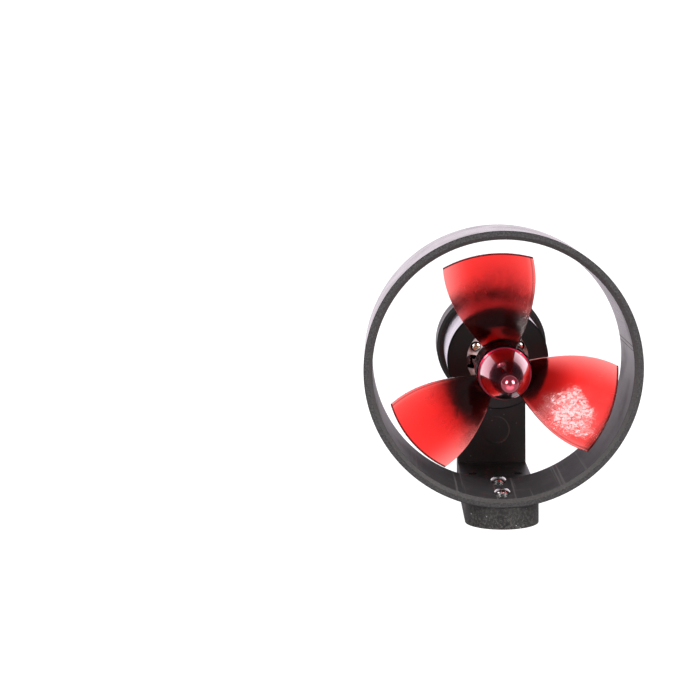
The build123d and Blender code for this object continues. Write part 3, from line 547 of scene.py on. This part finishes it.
class THRUSTER_OT_duct(bpy.types.Operator):
    """Finish the duct ring: satin skin, cut front face and scuffed bore"""

    bl_idname = "thruster.duct"
    bl_label = "Duct ring"

    def execute(self, context):
        plastics = context.scene.thruster_plastics
        finish = Finish("duct_plastic", plastics.duct_colour, 0.3, Specular_IOR_Level=0.5)
        _, y, z = finish.parts()
        radius, turn = finish.round_axis()

        # Where: the front face, the whole cut mouth, the bore, and its lower and upper part
        front = 1.0 - finish.ramp(y, DUCT_LOW.y + 0.00006, DUCT_LOW.y + 0.00030)
        lip = 1.0 - finish.ramp(y, DUCT_LOW.y + 0.00085, DUCT_LOW.y + 0.00110)
        bore = 1.0 - finish.ramp(radius, DUCT_RADIUS - 0.0020, DUCT_RADIUS - 0.0010)
        low_side = 1.0 - finish.ramp(z, DUCT_LOW.z + 0.002, DUCT_LOW.z + 0.022)
        high_side = finish.ramp(z, AXIS_HEIGHT - 0.010, AXIS_HEIGHT + 0.008)

        # Lines drawn along the tube, grit and smudges
        around = turn * (2.0 * math.pi * DUCT_RADIUS)
        drawn = finish.noise(0.00022, 3.0, 0.6, finish.vector(around, y * 0.02, 0.0))
        broad = finish.noise(0.0016, 3.0, 0.6, finish.vector(around, y * 0.05, 0.0))
        speckle = finish.noise(0.00050, 4.0, 0.75)
        pits = 1.0 - finish.ramp(finish.cells(0.00045), 0.08, 0.22)
        smudge = finish.ramp(finish.noise(0.012, 4.0), 0.42, 0.68)

        # Wear in the bore
        scored = finish.ramp(drawn, 0.60, 0.74) * bore
        scuff = finish.ramp(finish.noise(0.0035, 5.0, 0.7), 0.50, 0.66) * low_side * bore
        streak = finish.noise(0.0011, 1.0, 0.5, finish.vector(around, y * 0.012, 3.0))
        strands = finish.noise(0.00045, 2.0, 0.6, finish.vector(around, y * 0.010, 7.0))
        streak = finish.ramp(streak, 0.60, 0.67) * finish.ramp(strands, 0.44, 0.58) * low_side * bore
        upper_line, lower_line = (finish.band(turn, *ends, 0.0003) for ends in HAIRLINES)
        hairline = (upper_line + lower_line) * bore

        # Colour of the skin and of the cut mouth, with a painted highlight on the mouth's inner edge
        skin = finish.blend(broad * 0.5, tuple(plastics.duct_colour), (0.022, 0.021, 0.022))
        skin = finish.blend(scored * 0.45, skin, (0.060, 0.058, 0.058))
        skin = finish.blend(streak * 0.8, skin, (0.125, 0.118, 0.114))
        skin = finish.blend(hairline, skin, (0.002, 0.002, 0.002))
        skin = finish.blend(scuff * 0.40, skin, (0.055, 0.052, 0.050))
        grit = finish.ramp(speckle, 0.40, 0.64)
        cut = finish.blend(grit, (0.018, 0.017, 0.017), tuple(plastics.rim_colour))
        cut = finish.blend(pits * 0.60, cut, (0.130, 0.125, 0.120))
        # Painted highlight: a paler line along the cut face's inner edge
        inner_edge_highlight = 1.0 - finish.ramp(radius, DUCT_RADIUS - 0.00150, DUCT_RADIUS - 0.00138)
        cut = finish.blend(inner_edge_highlight * 0.5, cut, (0.085, 0.081, 0.080))
        finish.set(Base_Color=finish.blend(lip, skin, cut))

        # Satin outside, duller in the bore and most of all low down, matt where cut
        satin = 0.15 + 0.07 * smudge + 0.05 * broad
        bore_dulled = 0.25 + 0.14 * low_side + 0.08 * scored + 0.4 * hairline
        satin = satin + (bore_dulled - 0.15 * high_side) * bore
        matt = 0.42 + 0.18 * speckle
        finish.set(Roughness=satin * (1.0 - lip) + matt * lip)

        height = drawn * (0.35 * (1.0 - lip)) + speckle * lip
        fine = finish.bump(height, 0.000016, 0.55)
        lumps = finish.noise(0.006, 2.0) + pits * (-0.4 * front)
        finish.set(Normal=finish.bump(lumps, 0.00006, 0.25, fine))
        paint(finish, "duct_ring")
        return {"FINISHED"}


class THRUSTER_OT_bracket(bpy.types.Operator):
    """Break the bracket's edges and give it its dusty moulded skin"""

    bl_idname = "thruster.bracket"
    bl_label = "Bracket"

    def execute(self, context):
        plastics = context.scene.thruster_plastics
        base = tuple(plastics.bracket_colour)
        finish = Finish("bracket_plastic", base, 0.45, Specular_IOR_Level=0.5)
        x, y, z = finish.parts()

        # Where: the foot's front end, and its lowest part
        nose = 1.0 - finish.ramp(y, DUCT_LOW.y + 0.006, DUCT_LOW.y + 0.012)
        foot_low = 1.0 - finish.ramp(z, 0.0005, 0.0060)

        # Grain, rubbed places, and dust that gathers on the foot's front
        grain = finish.noise(0.00030, 4.0, 0.7)
        cloud = finish.noise(0.0060, 4.0, 0.6)
        milled = finish.noise(0.00028, 2.0, 0.5, finish.vector(x, y, z * 0.05))
        wear_and_hole_highlight = finish.ramp(cloud, 0.44, 0.70)
        dust = 1.0 - finish.ramp(finish.cells(0.0017), 0.095, 0.130)
        chosen = finish.ramp(finish.noise(0.0045, 2.0), 0.48, 0.54)
        specks = dust * chosen * (0.2 + 0.8 * nose)
        gravel = finish.ramp(finish.noise(0.0006, 4.0, 0.8), 0.44, 0.64)

        # The recess's edge, with a painted highlight on its right side
        recess_highlight = (x - MARK_PLACE[0]) ** 2.0 + (z - MARK_PLACE[1]) ** 2.0
        recess_highlight = finish.band(recess_highlight ** 0.5, *MARK_RING, 0.00015)
        recess_highlight = recess_highlight * finish.ramp(x, MARK_PLACE[0] - 0.002, MARK_PLACE[0] + 0.003)

        skin = finish.blend(wear_and_hole_highlight * 0.6, base, (0.017, 0.0155, 0.014))
        skin = finish.blend(finish.ramp(grain, 0.45, 0.75) * 0.4, skin, (0.030, 0.027, 0.025))
        skin = finish.blend(recess_highlight, skin, (0.085, 0.078, 0.072))
        skin = finish.blend(nose * gravel * 0.42, skin, (0.085, 0.079, 0.073))
        skin = finish.blend(nose * foot_low * gravel * 0.16, skin, (0.300, 0.290, 0.270))
        finish.set(Base_Color=finish.blend(specks * 0.85, skin, (0.60, 0.60, 0.58)))
        finish.set(Roughness=0.36 + 0.16 * wear_and_hole_highlight + 0.12 * grain)
        fine = finish.bump(grain * 0.7 + milled * 0.3, 0.000014, 0.5)
        finish.set(Normal=finish.bump(cloud, 0.00008, 0.2, fine))
        piece = edged_copy("mount_bracket", "housing", BRACKET_EDGE)
        give(piece, finish)
        return {"FINISHED"}


class THRUSTER_OT_propeller(bpy.types.Operator):
    """Make the clear red propeller with its painted reflection haze, painted edge highlight and shade
    line, scratches and rounded edges
    """

    bl_idname = "thruster.propeller"
    bl_label = "Propeller"

    def execute(self, context):
        plastics = context.scene.thruster_plastics
        tint = tuple(plastics.blade_colour)
        finish = Finish(
            "red_clear_plastic",
            tint,
            0.16,
            Transmission_Weight=1.0,
            IOR=1.45,
            Specular_IOR_Level=0.25,
            Specular_Tint=(0.20, 0.17, 0.17, 1.0),
            Coat_Roughness=0.07,
            Coat_IOR=1.6,
        )
        radius, turn = finish.round_axis()

        # Fine scratches round the axis, and wear all over
        haze = finish.noise(0.0070, 5.0, 0.6)
        fine = finish.noise(0.0009, 4.0, 0.7)
        around = turn * 0.2
        lines = finish.noise(0.00035, 2.0, 0.5, finish.vector(around, radius * 0.06, 0.0))
        scratch = finish.ramp(lines, 0.60, 0.72) * finish.ramp(haze, 0.40, 0.60)
        worn = finish.ramp(haze * 0.75 + fine * 0.25, 0.42, 0.62)

        # The scuffed patch on one blade, and on another a painted haze of dim blurred reflection
        crazed = finish.moved((0.0, 0.0, 0.0), (1.0, 0.4, 1.6), (0.0, 0.6, 0.0))
        flakes = finish.noise(0.0013, 5.0, 0.70, crazed, 0.9)
        near = finish.ball_mask(SCUFF_PLACE, 0.0130, 0.0090)
        grazed = finish.ramp(finish.noise(0.0010, 3.0, 0.6, crazed), 0.44, 0.54)
        reflection_haze = finish.ball_mask(REFLECTION_HAZE_PLACE, 0.0120, 0.0100) * (0.55 + 0.45 * worn)
        scuff = finish.ramp(near * 0.45 + flakes, 0.84, 0.90) * (0.25 + 0.75 * grazed)

        # Where on a blade: its dark tip and root, its pale thin edge, and its thick edge with a painted
        # highlight and a painted dark line of shade beside it
        tip = finish.ramp(radius, BLADE_TIP - 0.00058, BLADE_TIP - 0.00030)
        across = finish.across_blade(radius, turn)
        feather = finish.ramp(across, 0.35, 1.0)
        inner = 1.0 - finish.ramp(radius, 0.0125, 0.0225)
        thick_edge_highlight = 1.0 - finish.ramp(across, -1.0, -0.82)
        edge_shade_line = finish.band(across, -0.965, -0.930, 0.012)

        clear = finish.blend(worn * 0.20, tint, (0.93, 0.30, 0.28))
        clear = finish.blend(inner * 0.76, clear, (0.12, 0.004, 0.005))
        # Painted reflection: a dim smoky haze on the upper blade
        clear = finish.blend(reflection_haze * 0.66, clear, (0.33, 0.105, 0.125))
        clear = finish.blend(feather * 0.8, clear, (1.0, 0.72, 0.69))
        # Painted highlight along the thick edge, and beside it a painted dark line of shade
        clear = finish.blend(thick_edge_highlight * 0.7, clear, (1.0, 0.60, 0.57))
        clear = finish.blend(edge_shade_line * 0.45, clear, (0.20, 0.010, 0.010))
        finish.set(Base_Color=finish.blend(tip * 0.92, clear, (0.06, 0.005, 0.005)))

        # The scuffed patch glares by its coat, and the rest of the surface hardly reflects
        polished = inner * finish.ramp(across, -0.75, -0.05)
        finish.set(Roughness=0.17 - 0.09 * polished + 0.08 * worn + 0.05 * scratch)
        finish.set(Coat_Weight=0.06 + 0.94 * scuff)
        relief = finish.bump(fine, 0.00002, 0.12)
        finish.set(Normal=finish.bump(scratch * 0.1 + flakes * near, 0.00009, 0.6, relief))

        # Thicker plastic is a deeper red
        depth = finish.add(
            "ShaderNodeVolumeAbsorption",
            {},
            {"Color": (0.93, 0.01, 0.01, 1.0), "Density": plastics.blade_depth},
        )
        ending = finish.tree.nodes["Material Output"]
        finish.tree.links.new(depth.socket, ending.inputs["Volume"])
        piece = edged_copy("propeller", "rotor", BLADE_EDGE)
        give(piece, finish)
        return {"FINISHED"}


class THRUSTER_OT_nut(bpy.types.Operator):
    """Finish the anodised nut and its washer"""

    bl_idname = "thruster.nut"
    bl_label = "Prop nut"

    def execute(self, context):
        metals = context.scene.thruster_metals
        base = tuple(metals.nut_colour)
        finish = Finish(
            "red_anodised", base, 0.14, 1.0, Coat_Weight=1.0, Coat_Roughness=0.03, Coat_IOR=1.5
        )
        _, y, _ = finish.parts()
        radius, _ = finish.round_axis()
        rings = finish.noise(0.00010, 2.0, 0.5, finish.vector(y, radius * 0.4, 0.0))
        smear = finish.ramp(finish.noise(0.0030, 4.0), 0.45, 0.70)
        darker = tuple(0.72 * c for c in base)

        # Where: the knob, the widest rim, and a painted highlight round the cross hole
        knob = 1.0 - finish.ramp(y, NUT_TIP + KNOB_LENGTH, NUT_TIP + KNOB_LENGTH + 0.0005)
        collar = finish.ramp(radius, NUT_RADIUS - 0.00065, NUT_RADIUS - 0.00040)
        wear_and_hole_highlight = finish.ball_mask(CROSS_HOLE_PLACE, 0.00140, 0.00035)

        skin = finish.blend(smear * 0.5, base, darker)
        skin = finish.blend(collar, skin, (0.44, 0.010, 0.040))
        # Painted highlight: a pale pink ring round the cross hole's mouth
        skin = finish.blend(wear_and_hole_highlight * 0.8, skin, (0.85, 0.26, 0.34))
        finish.set(Base_Color=finish.blend(knob, skin, (0.80, 0.12, 0.17)))
        finish.set(Roughness=0.14 + 0.04 * rings + 0.05 * smear + 0.18 * (collar + wear_and_hole_highlight))
        finish.set(Normal=finish.bump(rings, 0.000004, 0.35))
        paint(finish, "prop_nut")
        washer = stainless("stainless_washer", metals.stainless_colour)
        paint(washer, "prop_washer")
        return {"FINISHED"}


def stainless(name, colour):
    """Polished stainless steel with tumbling marks and fine scratches."""
    base = tuple(colour)
    finish = Finish(name, base, 0.16, 1.0)
    tumbled = finish.noise(0.00035, 4.0, 0.65)
    long_way = finish.moved((0.0, 0.0, 0.0), (6000.0, 700.0, 1400.0), (0.4, 0.2, 0.7))
    scratches = finish.ramp(finish.noise(1.0, 2.0, 0.5, long_way), 0.58, 0.70)
    dull = finish.ramp(finish.noise(0.0013, 3.0), 0.45, 0.75)
    finish.set(Base_Color=finish.blend(dull * 0.5, base, tuple(0.72 * c for c in base)))
    finish.set(Roughness=0.09 + 0.08 * dull + 0.08 * scratches)
    finish.set(Normal=finish.bump(tumbled + scratches * 0.4, 0.000006, 0.4))
    return finish


class THRUSTER_OT_screws(bpy.types.Operator):
    """Finish the pan head screws of the duct and the motor"""

    bl_idname = "thruster.screws"
    bl_label = "Screws"

    def execute(self, context):
        metals = context.scene.thruster_metals
        finish = stainless("stainless", metals.stainless_colour)
        paint(finish, "duct_screws", "motor_screws", "plate_screws")
        return {"FINISHED"}


class THRUSTER_OT_motor(bpy.types.Operator):
    """Finish the motor's can, front cover, front plate, housing and end cap"""

    bl_idname = "thruster.motor"
    bl_label = "Motor shell"

    def execute(self, context):
        metals = context.scene.thruster_metals
        paint(self.satin_can(metals), "motor_can")
        paint(self.matt_cover(), "front_cover")
        paint(self.bright_plate(metals), "front_plate")
        paint(self.machined(), "bearing_housing", "rear_end_cap")
        return {"FINISHED"}

    def satin_can(self, metals):
        """Satin aluminium, turned round and wiped along."""
        base = tuple(metals.can_colour)
        finish = Finish("satin_can", base, 0.28, 1.0)
        _, turn = finish.round_axis()
        _, y, _ = finish.parts()
        rings = finish.noise(0.00016, 2.0, 0.6, finish.vector(turn * 0.0006, y, 0.0))
        wiped = finish.ramp(finish.noise(0.0034, 4.0, 0.6), 0.44, 0.70)
        finish.set(Base_Color=finish.blend(wiped * 0.4, base, tuple(0.72 * c for c in base)))
        finish.set(Roughness=0.22 + 0.12 * rings + 0.10 * wiped)
        finish.set(Normal=finish.bump(rings, 0.000008, 0.5))
        return finish

    def matt_cover(self):
        """Black anodised aluminium, turned on a lathe."""
        finish = Finish("black_anodised", (0.005, 0.005, 0.005), 0.36, Specular_IOR_Level=0.35)
        radius, turn = finish.round_axis()
        rings = finish.noise(0.00012, 2.0, 0.5, finish.vector(radius, turn * 0.0002, 0.0))
        cloud = finish.noise(0.0040, 4.0)
        finish.set(Base_Color=finish.blend(cloud * 0.6, (0.004, 0.004, 0.004), (0.009, 0.0085, 0.009)))
        finish.set(Roughness=0.28 + 0.14 * rings + 0.08 * cloud)
        finish.set(Normal=finish.bump(rings, 0.000006, 0.5))
        return finish

    def bright_plate(self, metals):
        """Bright plate with turning rings and a faint water stain. Its pink tint is a painted reflection
        of the red blades.
        """
        base = tuple(metals.plate_colour)
        finish = Finish("bright_plate", base, 0.28, 0.25)
        radius, turn = finish.round_axis()
        rings = finish.noise(0.00010, 2.0, 0.6, finish.vector(radius, turn * 0.0004, 0.0))
        stain = finish.ramp(finish.noise(0.0022, 4.0, 0.65), 0.48, 0.66)
        finish.set(Base_Color=finish.blend(stain * 0.6, base, (0.46, 0.38, 0.36)))
        finish.set(Roughness=0.44 + 0.12 * rings + 0.14 * stain)
        finish.set(Normal=finish.bump(rings, 0.000008, 0.5))
        return finish

    def machined(self):
        """Plain machined aluminium with tool marks."""
        finish = Finish("machined_aluminium", (0.70, 0.70, 0.71), 0.34, 1.0)
        radius, turn = finish.round_axis()
        rings = finish.noise(0.00014, 2.0, 0.6, finish.vector(radius, turn * 0.0004, 0.0))
        cloud = finish.noise(0.0030, 4.0)
        finish.set(Base_Color=finish.blend(cloud * 0.6, (0.72, 0.72, 0.73), (0.50, 0.50, 0.51)))
        finish.set(Roughness=0.26 + 0.14 * rings + 0.08 * cloud)
        finish.set(Normal=finish.bump(rings, 0.000010, 0.6))
        return finish


class THRUSTER_OT_windings(bpy.types.Operator):
    """Finish the laminated core, the wound coils, the rotor and its magnets"""

    bl_idname = "thruster.windings"
    bl_label = "Stator and rotor"

    def execute(self, context):
        metals = context.scene.thruster_metals
        core = Finish("lamination_steel", (0.24, 0.24, 0.25), 0.42, 0.9)
        _, y, _ = core.parts()
        sheets = core.noise(0.00035, 0.0, 0.5, core.vector(0.0, y, 0.0))
        rust = core.ramp(core.noise(0.0016, 4.0), 0.55, 0.72)
        core.set(Base_Color=core.blend(rust * 0.5, (0.25, 0.25, 0.26), (0.20, 0.14, 0.10)))
        core.set(Roughness=0.34 + 0.20 * sheets)
        core.set(Normal=core.bump(core.ramp(sheets, 0.42, 0.58), 0.00003, 0.8))
        paint(core, "stator_core", "rotor_core")

        base = tuple(metals.copper_colour)
        wound = Finish("copper_enamel", base, 0.28, 0.85, Coat_Weight=0.5, Coat_Roughness=0.12)
        radius, _ = wound.round_axis()
        strands = wound.add(
            "ShaderNodeTexWave",
            {"wave_type": "BANDS", "bands_direction": "X"},
            {
                "Vector": wound.vector(radius, 0.0, 0.0),
                "Scale": WAVE_STEP / WIRE_PITCH,
                "Distortion": 0.3,
                "Detail": 1.0,
            },
            output=1,
        )
        lacquer = wound.noise(0.0015, 3.0)
        wound.set(Base_Color=wound.blend(lacquer * 0.6, base, (0.42, 0.12, 0.05)))
        wound.set(Roughness=0.22 + 0.16 * lacquer)
        wound.set(Normal=wound.bump(strands, 0.00010, 0.8))
        paint(wound, "stator_coils")

        magnets = Finish("magnet_plating", (0.55, 0.54, 0.52), 0.22, 1.0)
        ground = magnets.noise(0.00018, 3.0)
        magnets.set(Roughness=0.16 + 0.16 * ground)
        magnets.set(Base_Color=magnets.blend(ground * 0.5, (0.58, 0.57, 0.55), (0.40, 0.39, 0.38)))
        magnets.set(Normal=magnets.bump(ground, 0.000006, 0.4))
        paint(magnets, "rotor_magnets")
        return {"FINISHED"}


class THRUSTER_OT_bearings(bpy.types.Operator):
    """Finish the two ball bearings"""

    bl_idname = "thruster.bearings"
    bl_label = "Bearings"

    def execute(self, context):
        metals = context.scene.thruster_metals
        steel = Finish("bearing_steel", (0.60, 0.60, 0.61), 0.10, 1.0)
        radius, _ = steel.round_axis()
        rings = steel.noise(0.00006, 2.0, 0.5, steel.vector(radius, 0.0, 0.0))
        steel.set(Base_Color=steel.blend(steel.noise(0.0008), (0.62, 0.62, 0.63), (0.50, 0.50, 0.52)))
        steel.set(Roughness=0.07 + 0.08 * rings)
        steel.set(Normal=steel.bump(rings, 0.000003, 0.3))
        for end in ("front", "rear"):
            paint(steel, end + "_outer_race", end + "_inner_race", end + "_balls")
            paint(brass("brass_cage", metals.brass_colour), end + "_cage")
        return {"FINISHED"}


def brass(name, colour):
    """Turned brass, slightly tarnished."""
    base = tuple(colour)
    finish = Finish(name, base, 0.25, 1.0)
    _, y, _ = finish.parts()
    radius, _ = finish.round_axis()
    rings = finish.noise(0.00012, 2.0, 0.6, finish.vector(radius, y, 0.0))
    tarnish = finish.ramp(finish.noise(0.0018, 4.0, 0.6), 0.42, 0.70)
    finish.set(Base_Color=finish.blend(tarnish * 0.6, base, (0.38, 0.22, 0.10)))
    finish.set(Roughness=0.20 + 0.12 * rings + 0.12 * tarnish)
    finish.set(Normal=finish.bump(rings, 0.000008, 0.5))
    return finish


class THRUSTER_OT_drive(bpy.types.Operator):
    """Finish the shaft, its clip, the drive dog and its grub screw"""

    bl_idname = "thruster.drive"
    bl_label = "Shaft and drive dog"

    def execute(self, context):
        metals = context.scene.thruster_metals
        shaft = Finish("shaft_steel", (0.56, 0.55, 0.54), 0.14, 1.0)
        x, y, z = shaft.parts()
        ground = shaft.noise(0.00008, 2.0, 0.5, shaft.vector(x * 0.05, y, z * 0.05))
        film = shaft.ramp(shaft.noise(0.0020, 3.0), 0.45, 0.70)
        shaft.set(Base_Color=shaft.blend(film * 0.5, (0.58, 0.57, 0.56), (0.40, 0.38, 0.36)))
        shaft.set(Roughness=0.10 + 0.10 * ground + 0.06 * film)
        shaft.set(Normal=shaft.bump(ground, 0.000005, 0.4))
        paint(shaft, "motor_shaft")

        clip = Finish("spring_steel", (0.30, 0.30, 0.32), 0.26, 1.0)
        blued = clip.noise(0.0012, 3.0)
        clip.set(Base_Color=clip.blend(blued, (0.32, 0.32, 0.34), (0.14, 0.15, 0.20)))
        clip.set(Roughness=0.20 + 0.16 * blued)
        paint(clip, "shaft_clip")

        paint(brass("brass_turned", metals.brass_colour), "drive_dog")

        grub = Finish("black_steel", (0.030, 0.030, 0.032), 0.34, 0.8)
        oiled = grub.noise(0.0006, 3.0)
        grub.set(Base_Color=grub.blend(oiled, (0.022, 0.022, 0.024), (0.060, 0.058, 0.056)))
        grub.set(Roughness=0.26 + 0.20 * oiled)
        grub.set(Normal=grub.bump(oiled, 0.00001, 0.4))
        paint(grub, "dog_grub_screw")
        return {"FINISHED"}


class THRUSTER_OT_plugs(bpy.types.Operator):
    """Finish the gold plugs, their shrink sleeves and the grommet"""

    bl_idname = "thruster.plugs"
    bl_label = "Plugs and grommet"

    def execute(self, context):
        plastics = context.scene.thruster_plastics
        gold = Finish("gold_plug", (0.86, 0.58, 0.22), 0.18, 1.0)
        worn = gold.ramp(gold.noise(0.0010, 4.0), 0.45, 0.70)
        gold.set(Base_Color=gold.blend(worn * 0.5, (0.88, 0.60, 0.24), (0.66, 0.44, 0.20)))
        gold.set(Roughness=0.14 + 0.14 * worn)
        gold.set(Normal=gold.bump(gold.noise(0.00020, 2.0), 0.000006, 0.4))
        sleeve = Finish("sleeve_black", (0.016, 0.016, 0.017), 0.30)
        wrinkle = sleeve.noise(0.0009, 3.0, 0.5)
        sleeve.set(Base_Color=sleeve.blend(wrinkle, (0.013, 0.013, 0.014), (0.026, 0.025, 0.026)))
        sleeve.set(Roughness=0.24 + 0.18 * wrinkle)
        sleeve.set(Normal=sleeve.bump(wrinkle, 0.00005, 0.5))
        for name in LEAD_ROUTES:
            paint(gold, "plug_" + name)
            paint(sleeve, "sleeve_" + name)
        rubber = Finish("grommet_rubber", tuple(plastics.grommet_colour), 0.55)
        bloom = rubber.noise(0.0010, 4.0, 0.6)
        rubber.set(Base_Color=rubber.blend(bloom * 0.7, (0.014, 0.014, 0.014), (0.034, 0.033, 0.032)))
        rubber.set(Roughness=0.48 + 0.18 * bloom)
        rubber.set(Normal=rubber.bump(bloom, 0.00003, 0.5))
        paint(rubber, "lead_grommet")
        return {"FINISHED"}


class THRUSTER_OT_stage(bpy.types.Operator):
    """Set up the pale floor, the backdrop and the soft boxes"""

    bl_idname = "thruster.stage"
    bl_label = "Studio"

    def execute(self, context):
        studio = context.scene.thruster_studio
        self.floor(context, studio)
        self.wall(context, studio)
        for name, place, size, power in SOFT_BOXES:
            self.soft_box(context, name, place, size, power)
        self.air(context)
        context.scene.view_settings.view_transform = "Standard"
        return {"FINISHED"}

    def floor(self, context, studio):
        """Paper that is dim near the thruster, but white to the camera and through the clear blades."""
        paper = Finish("studio_paper", studio.floor_colour, 0.75, Specular_IOR_Level=0.1)
        fibres = paper.noise(0.0008, 3.0)
        paper.set(Base_Color=paper.blend(fibres, tuple(studio.floor_colour), (0.26, 0.26, 0.26)))
        x, y, _ = paper.parts()
        ahead = y - POOL_Y
        pool = 1.0 - paper.ramp((x * x + ahead * ahead) ** 0.5, *POOL_EDGE)
        bright = paper.maths("MAXIMUM", paper.ramp(y, *FAR_FLOOR), pool)
        lit = paper.blend(bright, DIM_FLOOR, BRIGHT_PAPER)

        # A ray that has left the clear plastic counts as a transmission ray
        direct = paper.add("ShaderNodeLightPath", output="Is Camera Ray")
        through = paper.add("ShaderNodeLightPath", output="Is Transmission Ray")
        glow = paper.blend(paper.maths("MAXIMUM", direct, through), lit, WHITE)
        paper.set(Emission_Color=glow, Emission_Strength=1.0)

        bpy.ops.object.select_all(action="DESELECT")
        bpy.ops.mesh.primitive_plane_add(size=2 * studio.floor_radius, location=(0.0, 0.0, 0.0))
        floor = context.object
        floor.name = "studio_floor"
        give(floor, paper)

    def wall(self, context, studio):
        """A backdrop that is bright low down and dimmer above."""
        backdrop = Finish("studio_backdrop", studio.floor_colour, 0.8, Specular_IOR_Level=0.1)
        height = backdrop.parts()[2]
        low = 1.0 - backdrop.ramp(height, *WALL_FADE)
        shade = backdrop.blend(low, DIM_WALL, BRIGHT_PAPER)
        backdrop.set(Emission_Color=shade, Emission_Strength=1.0)

        middle = (0.0, WALL_Y, 0.0)
        bpy.ops.mesh.primitive_plane_add(size=2 * studio.floor_radius, location=middle)
        wall = context.object
        wall.name = "studio_wall"
        bpy.ops.transform.rotate(value=math.radians(90), orient_axis="X", center_override=middle)
        bpy.ops.object.transform_apply(location=True, rotation=True, scale=True)
        give(wall, backdrop)

    def soft_box(self, context, name, place, size, power):
        """A rectangular soft box that faces the thruster."""
        bpy.ops.object.light_add(type="AREA", location=place)
        light = context.object
        light.name = name
        light.data.shape = "RECTANGLE"
        light.data.size = size[0]
        light.data.size_y = size[1]
        light.data.energy = power
        toward = Vector((0.0, 0.0, AXIS_HEIGHT)) - Vector(place)
        light.rotation_euler = toward.to_track_quat("-Z", "Y").to_euler()

    def air(self, context):
        """Dim air all round, which the camera and rays out of the clear blades see as white."""
        world = bpy.data.worlds.new("studio_air")
        context.scene.world = world
        world.use_nodes = True
        nodes = world.node_tree.nodes
        links = world.node_tree.links
        air = nodes["Background"]
        air.inputs["Color"].default_value = AIR_COLOUR
        air.inputs["Strength"].default_value = AIR_STRENGTH
        seen = nodes.new("ShaderNodeBackground")
        seen.inputs["Color"].default_value = (*WHITE, 1.0)
        seen.inputs["Strength"].default_value = 1.0
        rays = nodes.new("ShaderNodeLightPath")
        either = nodes.new("ShaderNodeMath")
        either.operation = "MAXIMUM"
        links.new(rays.outputs["Is Camera Ray"], either.inputs[0])
        links.new(rays.outputs["Is Transmission Ray"], either.inputs[1])
        choice = nodes.new("ShaderNodeMixShader")
        links.new(either.outputs["Value"], choice.inputs["Fac"])
        links.new(air.outputs["Background"], choice.inputs[1])
        links.new(seen.outputs["Background"], choice.inputs[2])
        links.new(choice.outputs["Shader"], nodes["World Output"].inputs["Surface"])


class THRUSTER_PT_panel(bpy.types.Panel):
    """Settings and steps of the thruster's finishes"""

    bl_idname = "THRUSTER_PT_panel"
    bl_label = "Thruster"
    bl_space_type = "VIEW_3D"
    bl_region_type = "UI"
    bl_category = "Thruster"

    def draw(self, context):
        layout = self.layout
        for group in settings(context):
            box = layout.box()
            for name in group.__annotations__:
                box.prop(group, name)
        for step in STEPS:
            layout.operator("thruster." + step)


STEPS = (
    "camera",
    "leads",
    "duct",
    "bracket",
    "propeller",
    "nut",
    "screws",
    "motor",
    "windings",
    "bearings",
    "drive",
    "plugs",
    "stage",
)
CLASSES = (
    ThrusterStudio,
    ThrusterPlastics,
    ThrusterMetals,
    ThrusterLeads,
    THRUSTER_OT_camera,
    THRUSTER_OT_leads,
    THRUSTER_OT_duct,
    THRUSTER_OT_bracket,
    THRUSTER_OT_propeller,
    THRUSTER_OT_nut,
    THRUSTER_OT_screws,
    THRUSTER_OT_motor,
    THRUSTER_OT_windings,
    THRUSTER_OT_bearings,
    THRUSTER_OT_drive,
    THRUSTER_OT_plugs,
    THRUSTER_OT_stage,
    THRUSTER_PT_panel,
)


def register():
    for item in CLASSES:
        bpy.utils.register_class(item)
    bpy.types.Scene.thruster_studio = bpy.props.PointerProperty(type=ThrusterStudio)
    bpy.types.Scene.thruster_plastics = bpy.props.PointerProperty(type=ThrusterPlastics)
    bpy.types.Scene.thruster_metals = bpy.props.PointerProperty(type=ThrusterMetals)
    bpy.types.Scene.thruster_leads = bpy.props.PointerProperty(type=ThrusterLeads)


def unregister():
    del bpy.types.Scene.thruster_leads
    del bpy.types.Scene.thruster_metals
    del bpy.types.Scene.thruster_plastics
    del bpy.types.Scene.thruster_studio
    for item in reversed(CLASSES):
        bpy.utils.unregister_class(item)


def main():
    register()
    for step in STEPS:
        getattr(bpy.ops.thruster, step)()
    bpy.ops.object.select_all(action="DESELECT")
    bpy.context.view_layer.update()


if __name__ == "__main__":
    main()
